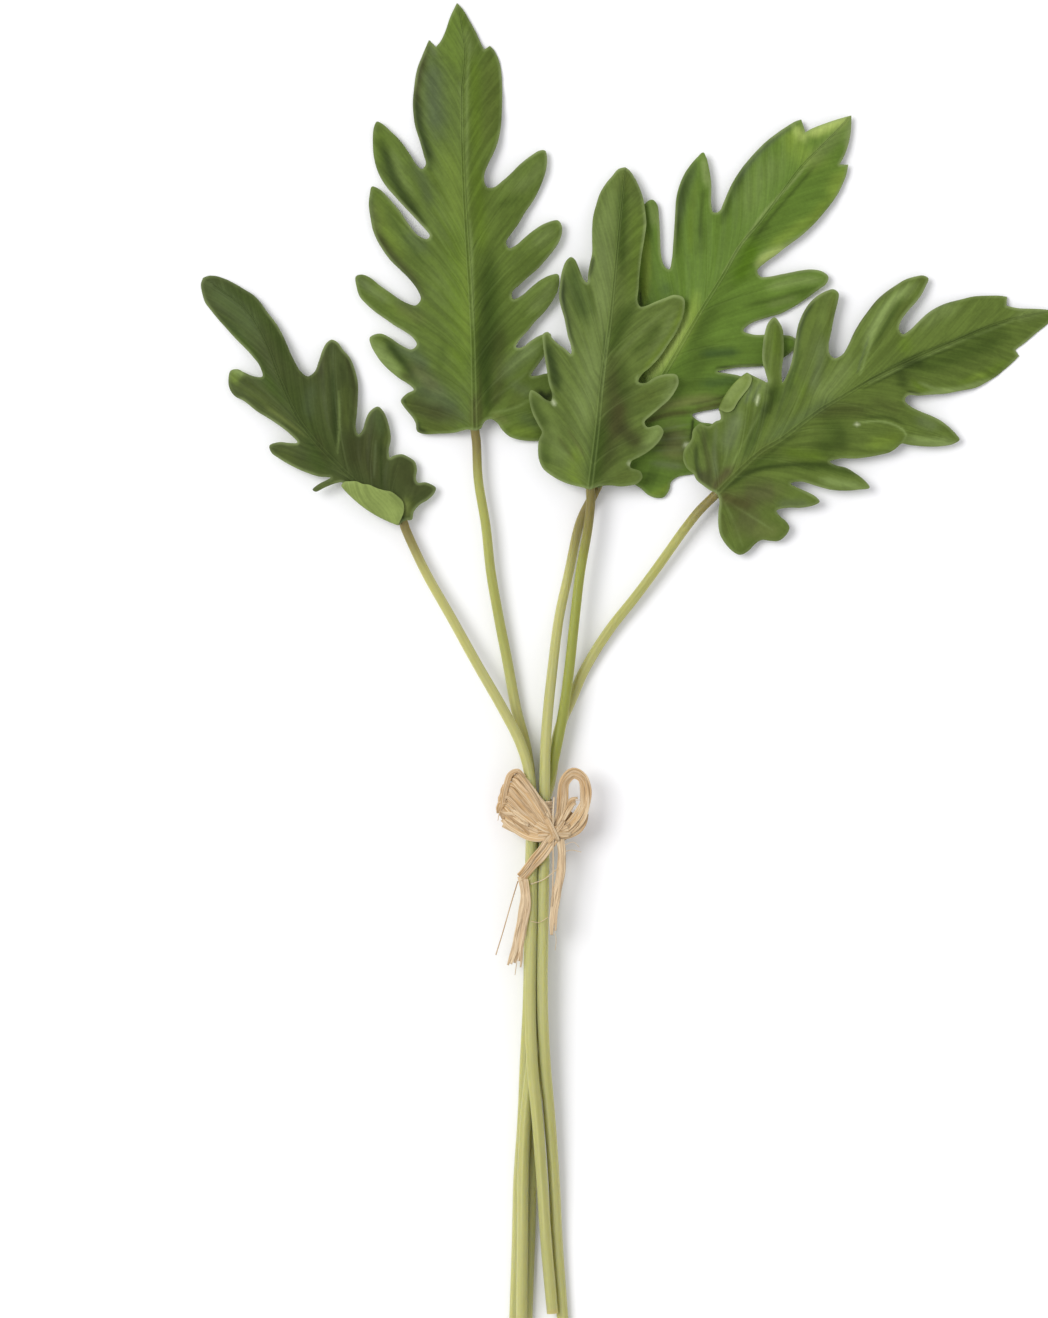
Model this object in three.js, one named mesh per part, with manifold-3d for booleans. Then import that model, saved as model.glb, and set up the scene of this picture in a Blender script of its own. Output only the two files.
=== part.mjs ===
import * as THREE from "three";
import Module from "manifold-3d";

// A bunch of five split-lobed leaves on long stalks, tied with raffia.
// It lies flat: leaf tips toward +Y, upper faces of the leaves toward +Z.

// Sizes in mm.
const BUNDLE_LENGTH = 560; // tip of the tallest leaf to the cut ends
const BLADE_THICKNESS = 0.8;
const STALK_RADIUS_TOP = 1.9;
const STALK_RADIUS_TIE = 2.3;
const STALK_RADIUS_END = 2.4;
const RIB_RADIUS = 0.9; // end of the stalk under the blade
const RIB_LENGTH = 13; // part of the stalk under the blade
const LAYER_GAP = 1.7; // between the middle faces of two leaves lying on each other
const SUPPORT_MARGIN = 3;
const DROOP_PAST_EDGE = 0.5;
const RIDGE_ROUNDING = 1.6;
const VEIN_ROUNDING = 1.4;
const RIDGE_WIDTH = 12; // a blade falls from its midrib over about this width
const OUTER_FALL = 0.035; // slope of a blade beyond its ridge
const PLEAT_AT_RIB = 0.6;
const GROUND_BLEND = 0.8;
const LAYER_BLEND = 0.6;
const WRAP_THICKNESS = 0.75;
const SEAT_GAP = 0.7; // between a blade and the stalk end under it
const RIBBON_THICKNESS = 0.7;
const EDGE_STEP = 4.6; // length of a facet along a margin
const GRID_STEP = 7; // length of a facet inside a blade
const ROW_STEP = GRID_STEP * 0.866; // rows of an even triangle grid
const MIDRIB_STEP = 6;
const RIBBON_STEP = 3.4;
const STALK_STEP = 15;
const STALK_SIDES = 9;
const RIB_STEP = 4;
const WRAP_CORNER_STEPS = 4;
const FOLD_ROWS = 4;
const FOLD_BEFORE_START = 0.02; // how far a roll runs past its drawn ends, in parts of its length
const FOLD_PAST_END = 0.15;
const MARGIN_ROUNDS = 12;

// Plan drawing: x to the right, y down, in drawing steps. The two ends of the
// bunch give its scale.
const DRAWN_TIP = 3;
const DRAWN_END = 1336;
const STEP = BUNDLE_LENGTH / (DRAWN_END - DRAWN_TIP);
const DRAWN_MIDDLE_X = 628;
const DRAWN_MIDDLE_Y = 669.5;

// Outlines run from the tip down to the base. A third value of 1 marks a sharp corner.
// A vein is drawn from the midrib to the tip of its lobe.
// Midrib points carry their height above the surface in mm.
const LEAF_1 = {
  left: [
    [203, 278], [201, 284], [202, 292], [205, 302], [210, 309], [218, 319], [227, 329], [237, 340],
    [247, 350], [254, 358], [260, 366], [263, 377], [255, 377], [245, 373], [238, 369.5], [231, 371],
    [229, 378],
    [229, 385], [231, 391], [236, 397], [244, 401], [258, 412], [268, 418], [280, 426], [290, 434],
    [298, 443], [290, 443.5], [280, 442.5], [270, 446], [272, 453], [280, 459], [290, 465],
    [300, 470], [310, 474], [320, 477], [331, 478], [326, 481], [320, 484], [313, 490], [316, 492],
    [325, 488], [335, 484], [343, 483],
  ],
  flap: [
    [345, 481], [350, 480.5], [357, 481.5], [370, 485.5], [385, 491], [397, 496], [403, 502], [404, 512],
  ],
  right: [
    [208, 276], [215, 276], [225, 279], [235, 284], [245, 290], [253, 295], [260, 302], [267, 312],
    [275, 322], [280, 330], [286, 342], [291, 354], [296, 364], [301, 372], [308, 377], [315, 372],
    [319, 362], [323, 350], [327, 343], [332, 340], [338, 343], [343, 350], [350, 358], [355, 370],
    [358, 383], [358, 400], [357, 415], [356, 428], [359, 435], [363, 430], [366, 420], [370, 412],
    [378, 407], [383, 411], [388, 422], [391, 438], [389, 450], [390, 458], [394, 456],
    [402, 454.5], [408, 457], [415, 462], [417, 470], [416, 478], [418, 483], [425, 482.5], [432, 485],
    [436, 488], [434, 494], [428, 500], [420, 505], [414, 512], [412, 520],
  ],
  base: [405, 521],
  midrib: [
    [403, 518, 8], [380, 502, 8.5], [343, 470, 9.5], [302, 424, 9.5], [282, 383, 8.5], [266, 342, 7],
    [247, 311, 5], [217, 287, 1.4],
  ],
  veins: [
    [300, 422, 231, 378], [340, 468, 274, 449], [362, 486, 318, 489],
    [338, 464, 335, 345], [362, 486, 378, 412], [380, 502, 404, 458], [394, 511, 432, 488],
  ],
  fall: { left: 0.34, right: 0.3 },
  veinFall: 0.16,
  fold: { from: [343, 483], to: [401, 523], bulge: 5, radius: 1.3 },
};

const LEAF_2 = {
  left: [
    [457, 3, 1], [450, 18], [446, 30], [441, 41], [436, 47, 1], [429, 40, 1], [423, 54], [417, 70],
    [414, 90], [413, 105], [415, 125], [420, 142], [424, 156], [426, 165], [422, 170], [417, 166],
    [410, 155], [400, 141], [390, 131], [382, 124], [377, 122], [374, 128], [373, 145],
    [374, 157], [378, 172], [385, 185], [395, 197], [405, 208], [419, 223], [430, 237], [427, 240],
    [418, 236], [408, 224], [400, 212], [390, 200], [380, 190], [372, 187], [370, 195], [369, 205],
    [371, 220], [373, 230], [378, 242], [390, 260], [400, 270], [410, 280], [418, 291], [421, 300],
    [416, 306], [410, 305], [400, 300], [390, 293], [380, 286], [370, 278], [362, 275], [356, 277],
    [357, 288], [360, 297], [366, 304], [375, 312], [385, 319], [395, 326], [405, 332], [413, 338],
    [417, 345], [412, 350], [400, 345], [390, 338], [380, 334], [370, 338], [371, 345],
    [375, 353], [382, 363], [390, 371], [400, 379], [408, 384], [414, 390], [407, 394], [401, 401],
    [404, 407], [408, 412], [413, 418], [416, 424], [417, 431], [423, 434], [440, 434], [455, 433],
    [468, 430],
  ],
  right: [
    [463, 10], [470, 22], [476, 33], [480, 42], [484, 50, 1], [490, 46, 1], [495, 52], [500, 65],
    [502, 85], [502, 105], [501, 125], [498, 142], [493, 155], [488, 165], [484, 178], [487, 188],
    [494, 188], [502, 182], [510, 175], [520, 165], [530, 157], [540, 151], [545, 151],
    [547, 158], [546, 170], [543, 180], [538, 192], [532, 203], [525, 213], [518, 225], [510, 236],
    [506, 243], [509, 249], [516, 246], [525, 238], [535, 230], [545, 224], [558, 221], [562, 228],
    [560, 240], [554, 250], [546, 260], [538, 269], [530, 276], [520, 285], [512, 293], [513, 300],
    [522, 296], [530, 289], [540, 281], [550, 276], [558, 275], [559, 285], [556, 295], [550, 305],
    [543, 314], [535, 322], [528, 331], [519, 341], [516, 348], [522, 348], [530, 342],
    [540, 336], [550, 334], [551, 344], [545, 355], [538, 365], [531, 376], [537, 376], [549, 374],
    [557, 384], [560, 400], [557, 416], [550, 431], [541, 440], [530, 441], [520, 440],
    [510, 437], [502, 430], [497, 423], [490, 419.5], [484, 423], [481, 429],
  ],
  base: [475, 431],
  midrib: [
    [475, 430, 8.5], [474, 380, 10], [473, 340, 10.5], [471, 300, 10.5], [467, 240, 10],
    [464, 190, 9], [462, 130, 8], [462, 90, 6.6], [465, 55, 4.6], [459, 10, 1.4],
  ],
  veins: [
    [468, 232, 379, 128], [470, 285, 372, 194], [472, 345, 360, 282], [473, 385, 373, 342],
    [474, 418, 404, 403], [467, 245, 543, 155], [470, 300, 558, 226], [472, 350, 556, 280],
    [473, 392, 548, 340], [474, 422, 553, 405],
  ],
  fall: { left: 0.36, right: 0.34 },
  veinFall: 0.16,
};

const LEAF_3 = {
  left: [
    [625, 168], [618, 170], [612, 177], [606, 184], [600, 194], [596, 206], [593, 218], [592, 230],
    [592, 242], [592, 254], [590, 264], [588, 275], [587, 284], [583, 280], [579, 270], [575, 261],
    [571, 258], [566, 262], [562, 272], [560, 285], [559, 298], [561, 308], [564, 318], [566, 328],
    [568, 338], [571, 348], [571, 355], [565, 350], [558, 345], [552, 339], [548, 333],
    [543, 335], [543, 345], [545, 360], [547, 372], [549, 385], [552, 395], [551, 402], [545, 400],
    [539, 395], [531, 391], [529, 396], [530, 405], [533, 415], [538, 425], [542, 433], [539, 440],
    [538, 450], [539, 460], [543, 469], [550, 475], [560, 481], [570, 485], [582, 488],
  ],
  right: [
    [629, 171], [634, 178], [639, 188], [643, 200], [645, 212], [646, 225], [644, 240],
    [641, 258], [639, 275], [638, 290], [637, 302], [640, 308], [646, 307], [655, 303], [665, 299],
    [674, 296], [683, 299], [684, 310], [681, 322], [676, 333], [668, 345], [660, 357], [650, 368],
    [641, 376],
    [638, 383], [645, 384], [655, 378], [667, 375], [676, 376], [678, 384], [674, 393],
    [668, 401], [660, 408], [651, 416], [644, 423], [647, 428], [653, 427], [658, 426],
    [663, 432], [660, 440], [655, 446], [648, 452], [640, 457], [631, 462], [630, 468],
    [635, 470], [640, 472], [642, 478], [637, 484], [630, 486], [620, 487], [610, 486], [598, 487],
  ],
  base: [590, 490],
  midrib: [
    [590, 487, 12.5], [597, 430, 14], [601, 390, 14.5], [606, 350, 14.5], [610, 320, 14],
    [617, 250, 12], [620, 220, 10], [625, 174, 6],
  ],
  veins: [
    [606, 350, 571, 264], [600, 405, 547, 340], [595, 450, 533, 396], [591, 480, 545, 462],
    [607, 345, 680, 302], [600, 405, 673, 380], [595, 450, 659, 431], [591, 480, 638, 476],
  ],
  fall: { left: 0.36, right: 0.24 },
  veinFall: 0.15,
};

const LEAF_4 = {
  left: [
    [851, 116, 1], [840, 119], [825, 124], [812, 129], [805, 133, 1], [801, 120, 1], [795, 122],
    [785, 128], [775, 135], [765, 143], [755, 153], [747, 162], [740, 171], [733, 182], [728, 192],
    [723, 204], [719, 212], [713, 213], [711, 205], [711, 185], [709, 170], [706, 158],
    [703, 153], [697, 158], [690, 166], [684, 175], [679, 187], [676, 200], [675, 215], [673, 245],
    [672, 258], [669, 270], [664, 266], [661, 255], [660, 240], [659, 220], [657, 205], [652, 200],
    [645, 204], [641, 215], [640, 235], [641, 255], [641, 285], [636, 312], [630, 316], [622, 308],
    [611, 298], [608, 306], [611, 325], [617, 352], [621, 374], [619, 386], [611, 384], [601, 383],
    [598, 392], [602, 412], [606, 432], [601, 440], [591, 443], [587, 456], [588, 470], [592, 482],
  ],
  right: [
    [851, 123], [850, 135], [847, 148], [843, 158], [839, 165, 1], [848, 165, 1], [846, 175],
    [842, 185], [837, 195], [830, 205], [822, 215], [815, 223], [808, 230], [800, 237], [785, 248],
    [775, 256], [765, 263], [757, 271], [760, 277], [770, 277], [780, 275], [790, 273], [800, 271],
    [812, 270], [822, 272], [828, 277], [826, 284], [818, 290], [810, 296], [800, 303], [790, 309],
    [780, 314], [770, 317], [760, 320], [750, 324], [743, 331], [754, 335], [765, 335], [780, 335],
    [794, 338], [796, 346], [783, 358], [762, 366], [750, 367], [735, 368], [717, 372],
    [729, 374], [739, 376], [748, 380], [746, 388], [736, 392], [722, 395], [710, 402], [700, 408],
    [692, 414], [700, 422], [712, 424], [724, 430], [727, 442], [720, 456], [708, 468],
    [695, 474], [688, 475], [678, 477], [671, 482], [669, 490], [664, 497], [656, 498], [648, 495],
    [640, 488], [630, 483], [618, 481], [607, 483],
  ],
  base: [598, 488],
  midrib: [
    [598, 486, 5.8], [622, 437, 6], [655, 372, 6.5], [680, 337, 6.5], [700, 306, 6.5], [720, 275, 7],
    [740, 246, 7.5], [760, 222, 8], [780, 195, 8], [800, 168, 7.5], [825, 143, 6], [846, 121, 3.5],
  ],
  veins: [
    [712, 288, 703, 160], [684, 331, 652, 207], [655, 372, 613, 304], [630, 420, 603, 390],
    [608, 466, 593, 450], [704, 300, 823, 277], [676, 342, 790, 341], [655, 372, 742, 382],
    [628, 425, 720, 440],
    [604, 474, 658, 493],
  ],
  fall: { left: 0.24, right: 0.26 },
  veinFall: 0.12,
};

const LEAF_5 = {
  left: [
    [1055, 311, 1], [1043, 309.5], [1030, 309], [1017, 308.5], [1006, 306, 1], [1007, 297, 1], [1000, 296],
    [985, 296], [972, 297], [960, 300], [948, 303], [938, 307], [928, 313], [918, 322], [910, 330],
    [902, 335], [898, 330], [900, 322], [907, 312], [915, 303], [921, 295], [925, 287], [928, 279],
    [923, 276], [915, 277], [905, 280], [895, 286], [885, 293], [876, 301], [868, 311], [860, 322],
    [853, 334], [848, 345], [842, 355], [834, 359], [829, 355], [828, 345], [830, 335], [832, 325],
    [834, 315], [837, 303], [838, 294], [833, 290], [825, 292], [815, 298], [808, 305], [802, 315],
    [798, 325], [795, 340], [792, 358], [788, 372], [782, 383], [781, 372], [783, 356], [783, 340],
    [782, 330], [778, 322], [774, 318], [768, 323], [764, 335], [762, 350], [762, 362], [765, 373],
    [767, 383], [762, 381], [756, 378], [748, 374],
  ],
  flap: [[751, 378], [749, 387], [743, 395], [737, 403], [733, 410], [727, 413]],
  leftBelow: [
    [719, 412], [720, 420], [715, 422], [708, 427], [700, 424], [693, 430], [691, 440], [684, 450],
    [683, 460], [687, 469], [693, 474], [696, 480], [703, 486], [710, 491],
  ],
  right: [
    [1053, 318], [1045, 326], [1035, 334], [1027, 341], [1015, 350, 1], [1019, 356, 1], [1012, 363],
    [1005, 369], [995, 377], [985, 383], [975, 388], [960, 391], [945, 394], [930, 395], [918, 396],
    [907, 396], [904, 401], [910, 407], [920, 412], [930, 416], [940, 421], [949, 428], [955, 434],
    [959, 440], [953, 444], [945, 446], [930, 447], [915, 446], [911, 441], [910, 433], [903, 425],
    [893, 421], [875, 419], [860, 421], [859, 424.5], [870, 421.5], [885, 422.5], [894, 425],
    [901, 429], [907, 436], [901, 444], [895, 449], [888, 453], [880, 455], [870, 457], [855, 459],
    [840, 459], [829, 462], [836, 466], [845, 468], [855, 474], [864, 481], [869, 488], [858, 490],
    [845, 491], [830, 490], [815, 486], [800, 482], [790, 484], [799, 489], [808, 493], [815, 497],
    [819, 502], [812, 506], [800, 508], [787, 508], [776, 511], [780, 517], [786, 522], [789, 528],
    [785, 536], [778, 541], [770, 541], [762, 540], [756, 543], [748, 551], [740, 555], [733, 552],
    [726, 545], [720, 535], [718, 525], [718, 512], [719, 502],
  ],
  base: [716, 494],
  midrib: [
    [718, 492, 9.5], [740, 470, 10.5], [760, 452, 11], [780, 440, 11.5], [800, 425, 11.5], [820, 410, 11.5],
    [840, 398, 11.5], [870, 380, 11], [905, 363, 10], [950, 343, 8], [1000, 322, 5], [1048, 311.5, 1.4],
  ],
  veins: [
    [850, 392, 922, 283], [790, 432, 833, 297], [765, 449, 773, 324], [742, 468, 748, 384],
    [724, 486, 704, 430], [845, 395, 952, 439], [803, 423, 901, 436], [765, 449, 862, 486],
    [745, 466, 812, 501], [730, 480, 780, 530], [721, 489, 738, 549],
  ],
  fall: { left: 0.26, right: 0.32 },
  veinFall: 0.15,
  fold: { from: [719, 412], to: [748, 374], bulge: 4, radius: 1.2 },
};

// Centre lines of the stalks: x, y, height in mm. They start at the blade and end at the cut.
const STALK_LINES = {
  leaf_1: [
    [405.5, 529, 5.3], [425.5, 572, 6.3], [451.5, 618, 8], [477, 664, 9.6], [503.5, 710, 11.2],
    [519, 740, 12], [527.5, 765, 12.3], [531, 790, 12.4], [531.5, 815, 12.4], [531, 900, 12.4],
    [529, 1000, 11.9], [531.5, 1060, 11.85], [537.5, 1120, 11], [542, 1180, 9.2], [546, 1240, 7.5],
    [552.5, 1312, 6],
  ],
  leaf_2: [
    [476.5, 441, 5.9], [478.5, 480, 6.1], [486, 526, 6], [491, 572, 5.6], [499, 618, 5],
    [508, 664, 4.4], [516.5, 710, 3.8], [524.5, 740, 3.5], [529, 765, 3.4], [531, 790, 3.35],
    [531.5, 815, 3.35], [530, 900, 3.1], [528.5, 1000, 2.8], [525.5, 1060, 2.6], [523, 1120, 2.45],
    [519, 1180, 2.4], [517.5, 1240, 2.4], [514.5, 1330, 2.4],
  ],
  leaf_3: [
    [590.5, 500, 9.8], [588, 526, 10.1], [580, 572, 10.4], [574.5, 618, 10.2], [569.5, 664, 9.6],
    [565, 700, 9], [561.5, 720, 8.7], [556.5, 745, 8.3], [551, 770, 8.05], [545, 790, 7.95],
    [538, 815, 7.88], [537, 900, 7.6], [535.5, 1000, 7.1], [531.5, 1060, 6.85], [525.5, 1120, 7.4],
    [523, 1180, 7.3], [522.5, 1240, 7.1], [521.5, 1326, 6.95],
  ],
  leaf_4: [
    [591.5, 499, 2.1], [585, 511, 2.4], [579, 526, 3.2], [569, 572, 4.8], [559, 618, 6.6],
    [553, 664, 8.8], [548, 710, 11], [545.5, 745, 12.2], [544.5, 790, 12.6], [544.5, 815, 12.4],
    [543.5, 900, 12.2], [542.5, 1000, 11.1], [544.8, 1060, 9.6], [549.8, 1120, 7.4], [554, 1180, 5.4],
    [557, 1240, 3.6], [564, 1336, 2.4],
  ],
  leaf_5: [
    [710, 500, 6.8], [699, 511, 6.7], [684, 530, 6.2], [655.5, 570, 5.2], [633, 600, 4.4],
    [613, 625, 3.7], [596, 650, 3.1], [582, 675, 2.7], [571.5, 700, 2.5], [562.5, 720, 2.45],
    [556.5, 740, 2.45], [553, 765, 2.7], [549.5, 785, 3], [545.2, 799, 3.3], [544.5, 815, 3.35],
    [543.5, 900, 3.1], [541.5, 1000, 2.7], [538.3, 1060, 2.5], [535, 1120, 2.4], [531.5, 1180, 2.4],
    [529.5, 1240, 2.4], [526.5, 1324, 2.4],
  ],
};

// Raffia ribbons: centre line x, y, height in mm; width in mm; lean of the ribbon's face in
// degrees, 0 lying flat and 90 on edge, at the start and at the end.
const RIBBONS = [
  // upper left loop, out and back
  {
    line: [[552, 829, 17], [541, 814, 16.9], [529, 794, 16.4], [520, 779, 15.4], [513, 773, 14.2],
      [508, 779, 13.2], [508, 794, 12.9], [513, 810, 13.8], [522, 822, 15.7], [536, 829, 16.9],
      [552, 830, 17.6]],
    width: 4.2, lean: [6, -10],
  },
  // lower left loop
  {
    line: [[552, 831, 16.6], [538, 826, 16.4], [524, 819, 15.9], [511, 812, 13.4], [504, 812, 11.8],
      [505, 820, 11.4], [514, 827, 12.8], [524, 832, 15.6], [538, 834, 16.6], [552, 832, 17]],
    width: 4.6, lean: [-8, 10],
  },
  // right loop, standing open
  {
    line: [[554, 830, 17], [563, 812, 16.4], [564, 795, 15.6], [567, 780, 15], [574, 775, 14.8],
      [582, 781, 14.8], [584, 795, 15], [579, 811, 15.6], [570, 823, 16.4], [556, 831, 17.4]],
    width: 4.4, lean: [42, 34],
  },
  // left tail with its kink
  {
    line: [[552, 832, 17.4], [543, 848, 16.2], [532, 864, 15.8], [521, 875, 15.4], [526, 888, 15.5],
      [525, 905, 15.3], [521.5, 925, 14.4], [518.5, 947, 12.2], [516, 965, 9.6]],
    width: 3, lean: [0, -10],
  },
  // right tail
  {
    line: [[556, 832, 17.4], [562, 852, 16.1], [560, 870, 15.6], [556, 889, 15.6], [553, 910, 15.5],
      [550, 934, 15.4]],
    width: 3.2, lean: [0, 8],
  },
];
const KNOT = { x: 554, y: 829, height: 16.6, size: [13.5, 8, 4.4] };
const WRAP = { x: 538, from: 801, to: 831, halfWidth: 5.45, bottom: 0.75, top: 15.05, corner: 2.6 };

const plan = ([x, y]) => [(x - DRAWN_MIDDLE_X) * STEP, (DRAWN_MIDDLE_Y - y) * STEP];

// Smooth open line through points of any dimension, cut into pieces of about one length.
function smoothLine(points, length) {
  const size = points[0].length;
  const gap = (a, b) => Math.max(1e-6, Math.hypot(...a.map((v, i) => v - b[i])));
  const result = [];
  for (let i = 0; i + 1 < points.length; i++) {
    const p1 = points[i];
    const p2 = points[i + 1];
    const p0 = i > 0 ? points[i - 1] : p1.map((v, k) => 2 * v - p2[k]);
    const p3 = i + 2 < points.length ? points[i + 2] : p2.map((v, k) => 2 * v - p1[k]);
    const t1 = Math.sqrt(gap(p0, p1));
    const t2 = t1 + Math.sqrt(gap(p1, p2));
    const t3 = t2 + Math.sqrt(gap(p2, p3));
    const count = Math.max(1, Math.round(gap(p1, p2) / length));
    for (let j = 0; j < count; j++) {
      const t = t1 + ((t2 - t1) * j) / count;
      const point = [];
      for (let k = 0; k < size; k++) {
        const mix = (a, b, ta, tb) => (a * (tb - t) + b * (t - ta)) / (tb - ta);
        const a1 = mix(p0[k], p1[k], 0, t1);
        const a2 = mix(p1[k], p2[k], t1, t2);
        const a3 = mix(p2[k], p3[k], t2, t3);
        const b1 = mix(a1, a2, 0, t2);
        const b2 = mix(a2, a3, t1, t3);
        point.push(mix(b1, b2, t1, t2));
      }
      result.push(point);
    }
  }
  result.push(points[points.length - 1].slice());
  return result;
}

// Closed outline in plan, smooth except at its marked corners.
function closedOutline(drawn, length) {
  const first = Math.max(0, drawn.findIndex((p) => p[2] === 1));
  const turned = [...drawn.slice(first), ...drawn.slice(0, first), drawn[first]];
  const result = [];
  let run = [turned[0]];
  for (let i = 1; i < turned.length; i++) {
    run.push(turned[i]);
    if (turned[i][2] === 1 || i === turned.length - 1) {
      const points = run.map(plan);
      const cut = smoothLine(points, length);
      cut.pop();
      result.push(...cut);
      run = [turned[i]];
    }
  }
  return result;
}

// Position on a fold: the part of a blade beyond its fold line is rolled back over the blade.
function foldFrame(fold) {
  const [ax, ay] = plan(fold.from);
  const [bx, by] = plan(fold.to);
  const length = Math.hypot(bx - ax, by - ay);
  const along = [(bx - ax) / length, (by - ay) / length];
  const out = [along[1] * fold.side, -along[0] * fold.side];
  const bulge = fold.bulge * STEP;
  return {
    ...fold,
    length,
    place(x, y) {
      const u = ((x - ax) * along[0] + (y - ay) * along[1]) / length;
      const w = (x - ax) * out[0] + (y - ay) * out[1];
      return { u, s: w - 4 * bulge * u * (1 - u) };
    },
    point(u, s) {
      const w = s + 4 * bulge * u * (1 - u);
      return [ax + along[0] * u * length + out[0] * w, ay + along[1] * u * length + out[1] * w];
    },
  };
}

// A point of the margin that lies on top, taken back to where it is with the fold laid open.
function openFlap(frame, point) {
  const { u, s } = frame.place(...plan(point));
  return frame.point(u, -s + Math.PI * frame.radius);
}

function nearest(line, x, y) {
  let best = null;
  for (let i = 0; i + 1 < line.length; i++) {
    const [ax, ay, az] = line[i];
    const [bx, by, bz] = line[i + 1];
    const dx = bx - ax;
    const dy = by - ay;
    const t = Math.min(1, Math.max(0, ((x - ax) * dx + (y - ay) * dy) / (dx * dx + dy * dy)));
    const px = ax + dx * t;
    const py = ay + dy * t;
    const distance = Math.hypot(x - px, y - py);
    if (!best || distance < best.distance) {
      const side = dx * (y - py) - dy * (x - px);
      best = { distance, height: az + (bz - az) * t, side, t: (i + t) / (line.length - 1) };
    }
  }
  return best;
}

const rounded = (d, r) => Math.sqrt(d * d + r * r) - r;
const above = (a, b, r) => 0.5 * (a + b + Math.sqrt((a - b) * (a - b) + r * r));

// Closed outline of a blade laid open, with the part that is rolled over at its fold.
function bladeOutline(leaf, frame) {
  const drawn = [...leaf.left];
  if (frame) {
    for (const p of leaf.flap) {
      const [x, y] = openFlap(frame, p);
      drawn.push([x / STEP + DRAWN_MIDDLE_X, DRAWN_MIDDLE_Y - y / STEP]);
    }
    drawn.push(...(leaf.leftBelow ?? []));
  }
  drawn.push(leaf.base, ...[...leaf.right].reverse());
  return closedOutline(drawn, EDGE_STEP);
}

// A lower blade holds up what lies on it, and lets it droop past its margin.
function support(leaf, field) {
  const outline = bladeOutline(leaf, null);
  return (x, y) => {
    const past = inside(outline, x, y) ? 0 : Math.max(0, edgeDistance(outline, x, y) - SUPPORT_MARGIN);
    return field(x, y) + LAYER_GAP - DROOP_PAST_EDGE * past;
  };
}

// Height of the middle face of a blade over a plan point.
function heightField(leaf, supports) {
  const midrib = smoothLine(leaf.midrib.map((p) => [...plan(p), p[2]]), MIDRIB_STEP);
  const veins = leaf.veins.map(([ax, ay, bx, by]) => [[...plan([ax, ay]), 0], [...plan([bx, by]), 0]]);
  return (x, y) => {
    const rib = nearest(midrib, x, y);
    const fall = rib.side > 0 ? leaf.fall.left : leaf.fall.right;
    let closest = Infinity;
    for (const vein of veins) closest = Math.min(closest, nearest(vein, x, y).distance);
    const ridge = rounded(rib.distance, RIDGE_ROUNDING);
    const pleat = Math.min(PLEAT_AT_RIB * ridge, rounded(closest, VEIN_ROUNDING));
    const drop = fall * RIDGE_WIDTH * (1 - Math.exp(-ridge / RIDGE_WIDTH)) + OUTER_FALL * ridge;
    let height = above(rib.height - drop - leaf.veinFall * pleat, BLADE_THICKNESS / 2, GROUND_BLEND);
    for (const held of supports) height = above(height, held(x, y), LAYER_BLEND);
    return height;
  };
}

function inside(polygon, x, y) {
  let result = false;
  for (let i = 0, j = polygon.length - 1; i < polygon.length; j = i++) {
    const [xi, yi] = polygon[i];
    const [xj, yj] = polygon[j];
    if (yi > y !== yj > y && x < ((xj - xi) * (y - yi)) / (yj - yi) + xi) result = !result;
  }
  return result;
}

function edgeDistance(polygon, x, y) {
  let best = Infinity;
  for (let i = 0; i < polygon.length; i++) {
    const [ax, ay] = polygon[i];
    const [bx, by] = polygon[(i + 1) % polygon.length];
    const dx = bx - ax;
    const dy = by - ay;
    const t = Math.min(1, Math.max(0, ((x - ax) * dx + (y - ay) * dy) / (dx * dx + dy * dy)));
    best = Math.min(best, Math.hypot(x - ax - dx * t, y - ay - dy * t));
  }
  return best;
}

// Triangles over a set of plan points, each with no other point in its circle.
function delaunay(points) {
  const n = points.length;
  const all = [...points, [-9000, -9000], [9000, -9000], [0, 9000]];
  const circle = (a, b, c) => {
    const [ax, ay] = all[a];
    const [bx, by] = all[b];
    const [cx, cy] = all[c];
    const d = 2 * (ax * (by - cy) + bx * (cy - ay) + cx * (ay - by));
    const a2 = ax * ax + ay * ay;
    const b2 = bx * bx + by * by;
    const c2 = cx * cx + cy * cy;
    const x = (a2 * (by - cy) + b2 * (cy - ay) + c2 * (ay - by)) / d;
    const y = (a2 * (cx - bx) + b2 * (ax - cx) + c2 * (bx - ax)) / d;
    return { a, b, c, x, y, r2: (ax - x) * (ax - x) + (ay - y) * (ay - y) };
  };
  let triangles = [circle(n, n + 1, n + 2)];
  for (let i = 0; i < n; i++) {
    const [px, py] = all[i];
    const edges = new Map();
    const kept = [];
    for (const t of triangles) {
      if ((px - t.x) * (px - t.x) + (py - t.y) * (py - t.y) < t.r2) {
        for (const [p, q] of [[t.a, t.b], [t.b, t.c], [t.c, t.a]]) {
          const back = `${q},${p}`;
          if (edges.has(back)) edges.delete(back);
          else edges.set(`${p},${q}`, [p, q]);
        }
      } else kept.push(t);
    }
    for (const [p, q] of edges.values()) kept.push(circle(p, q, i));
    triangles = kept;
  }
  return triangles.filter((t) => t.a < n && t.b < n && t.c < n).map((t) => [t.a, t.b, t.c]);
}

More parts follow.
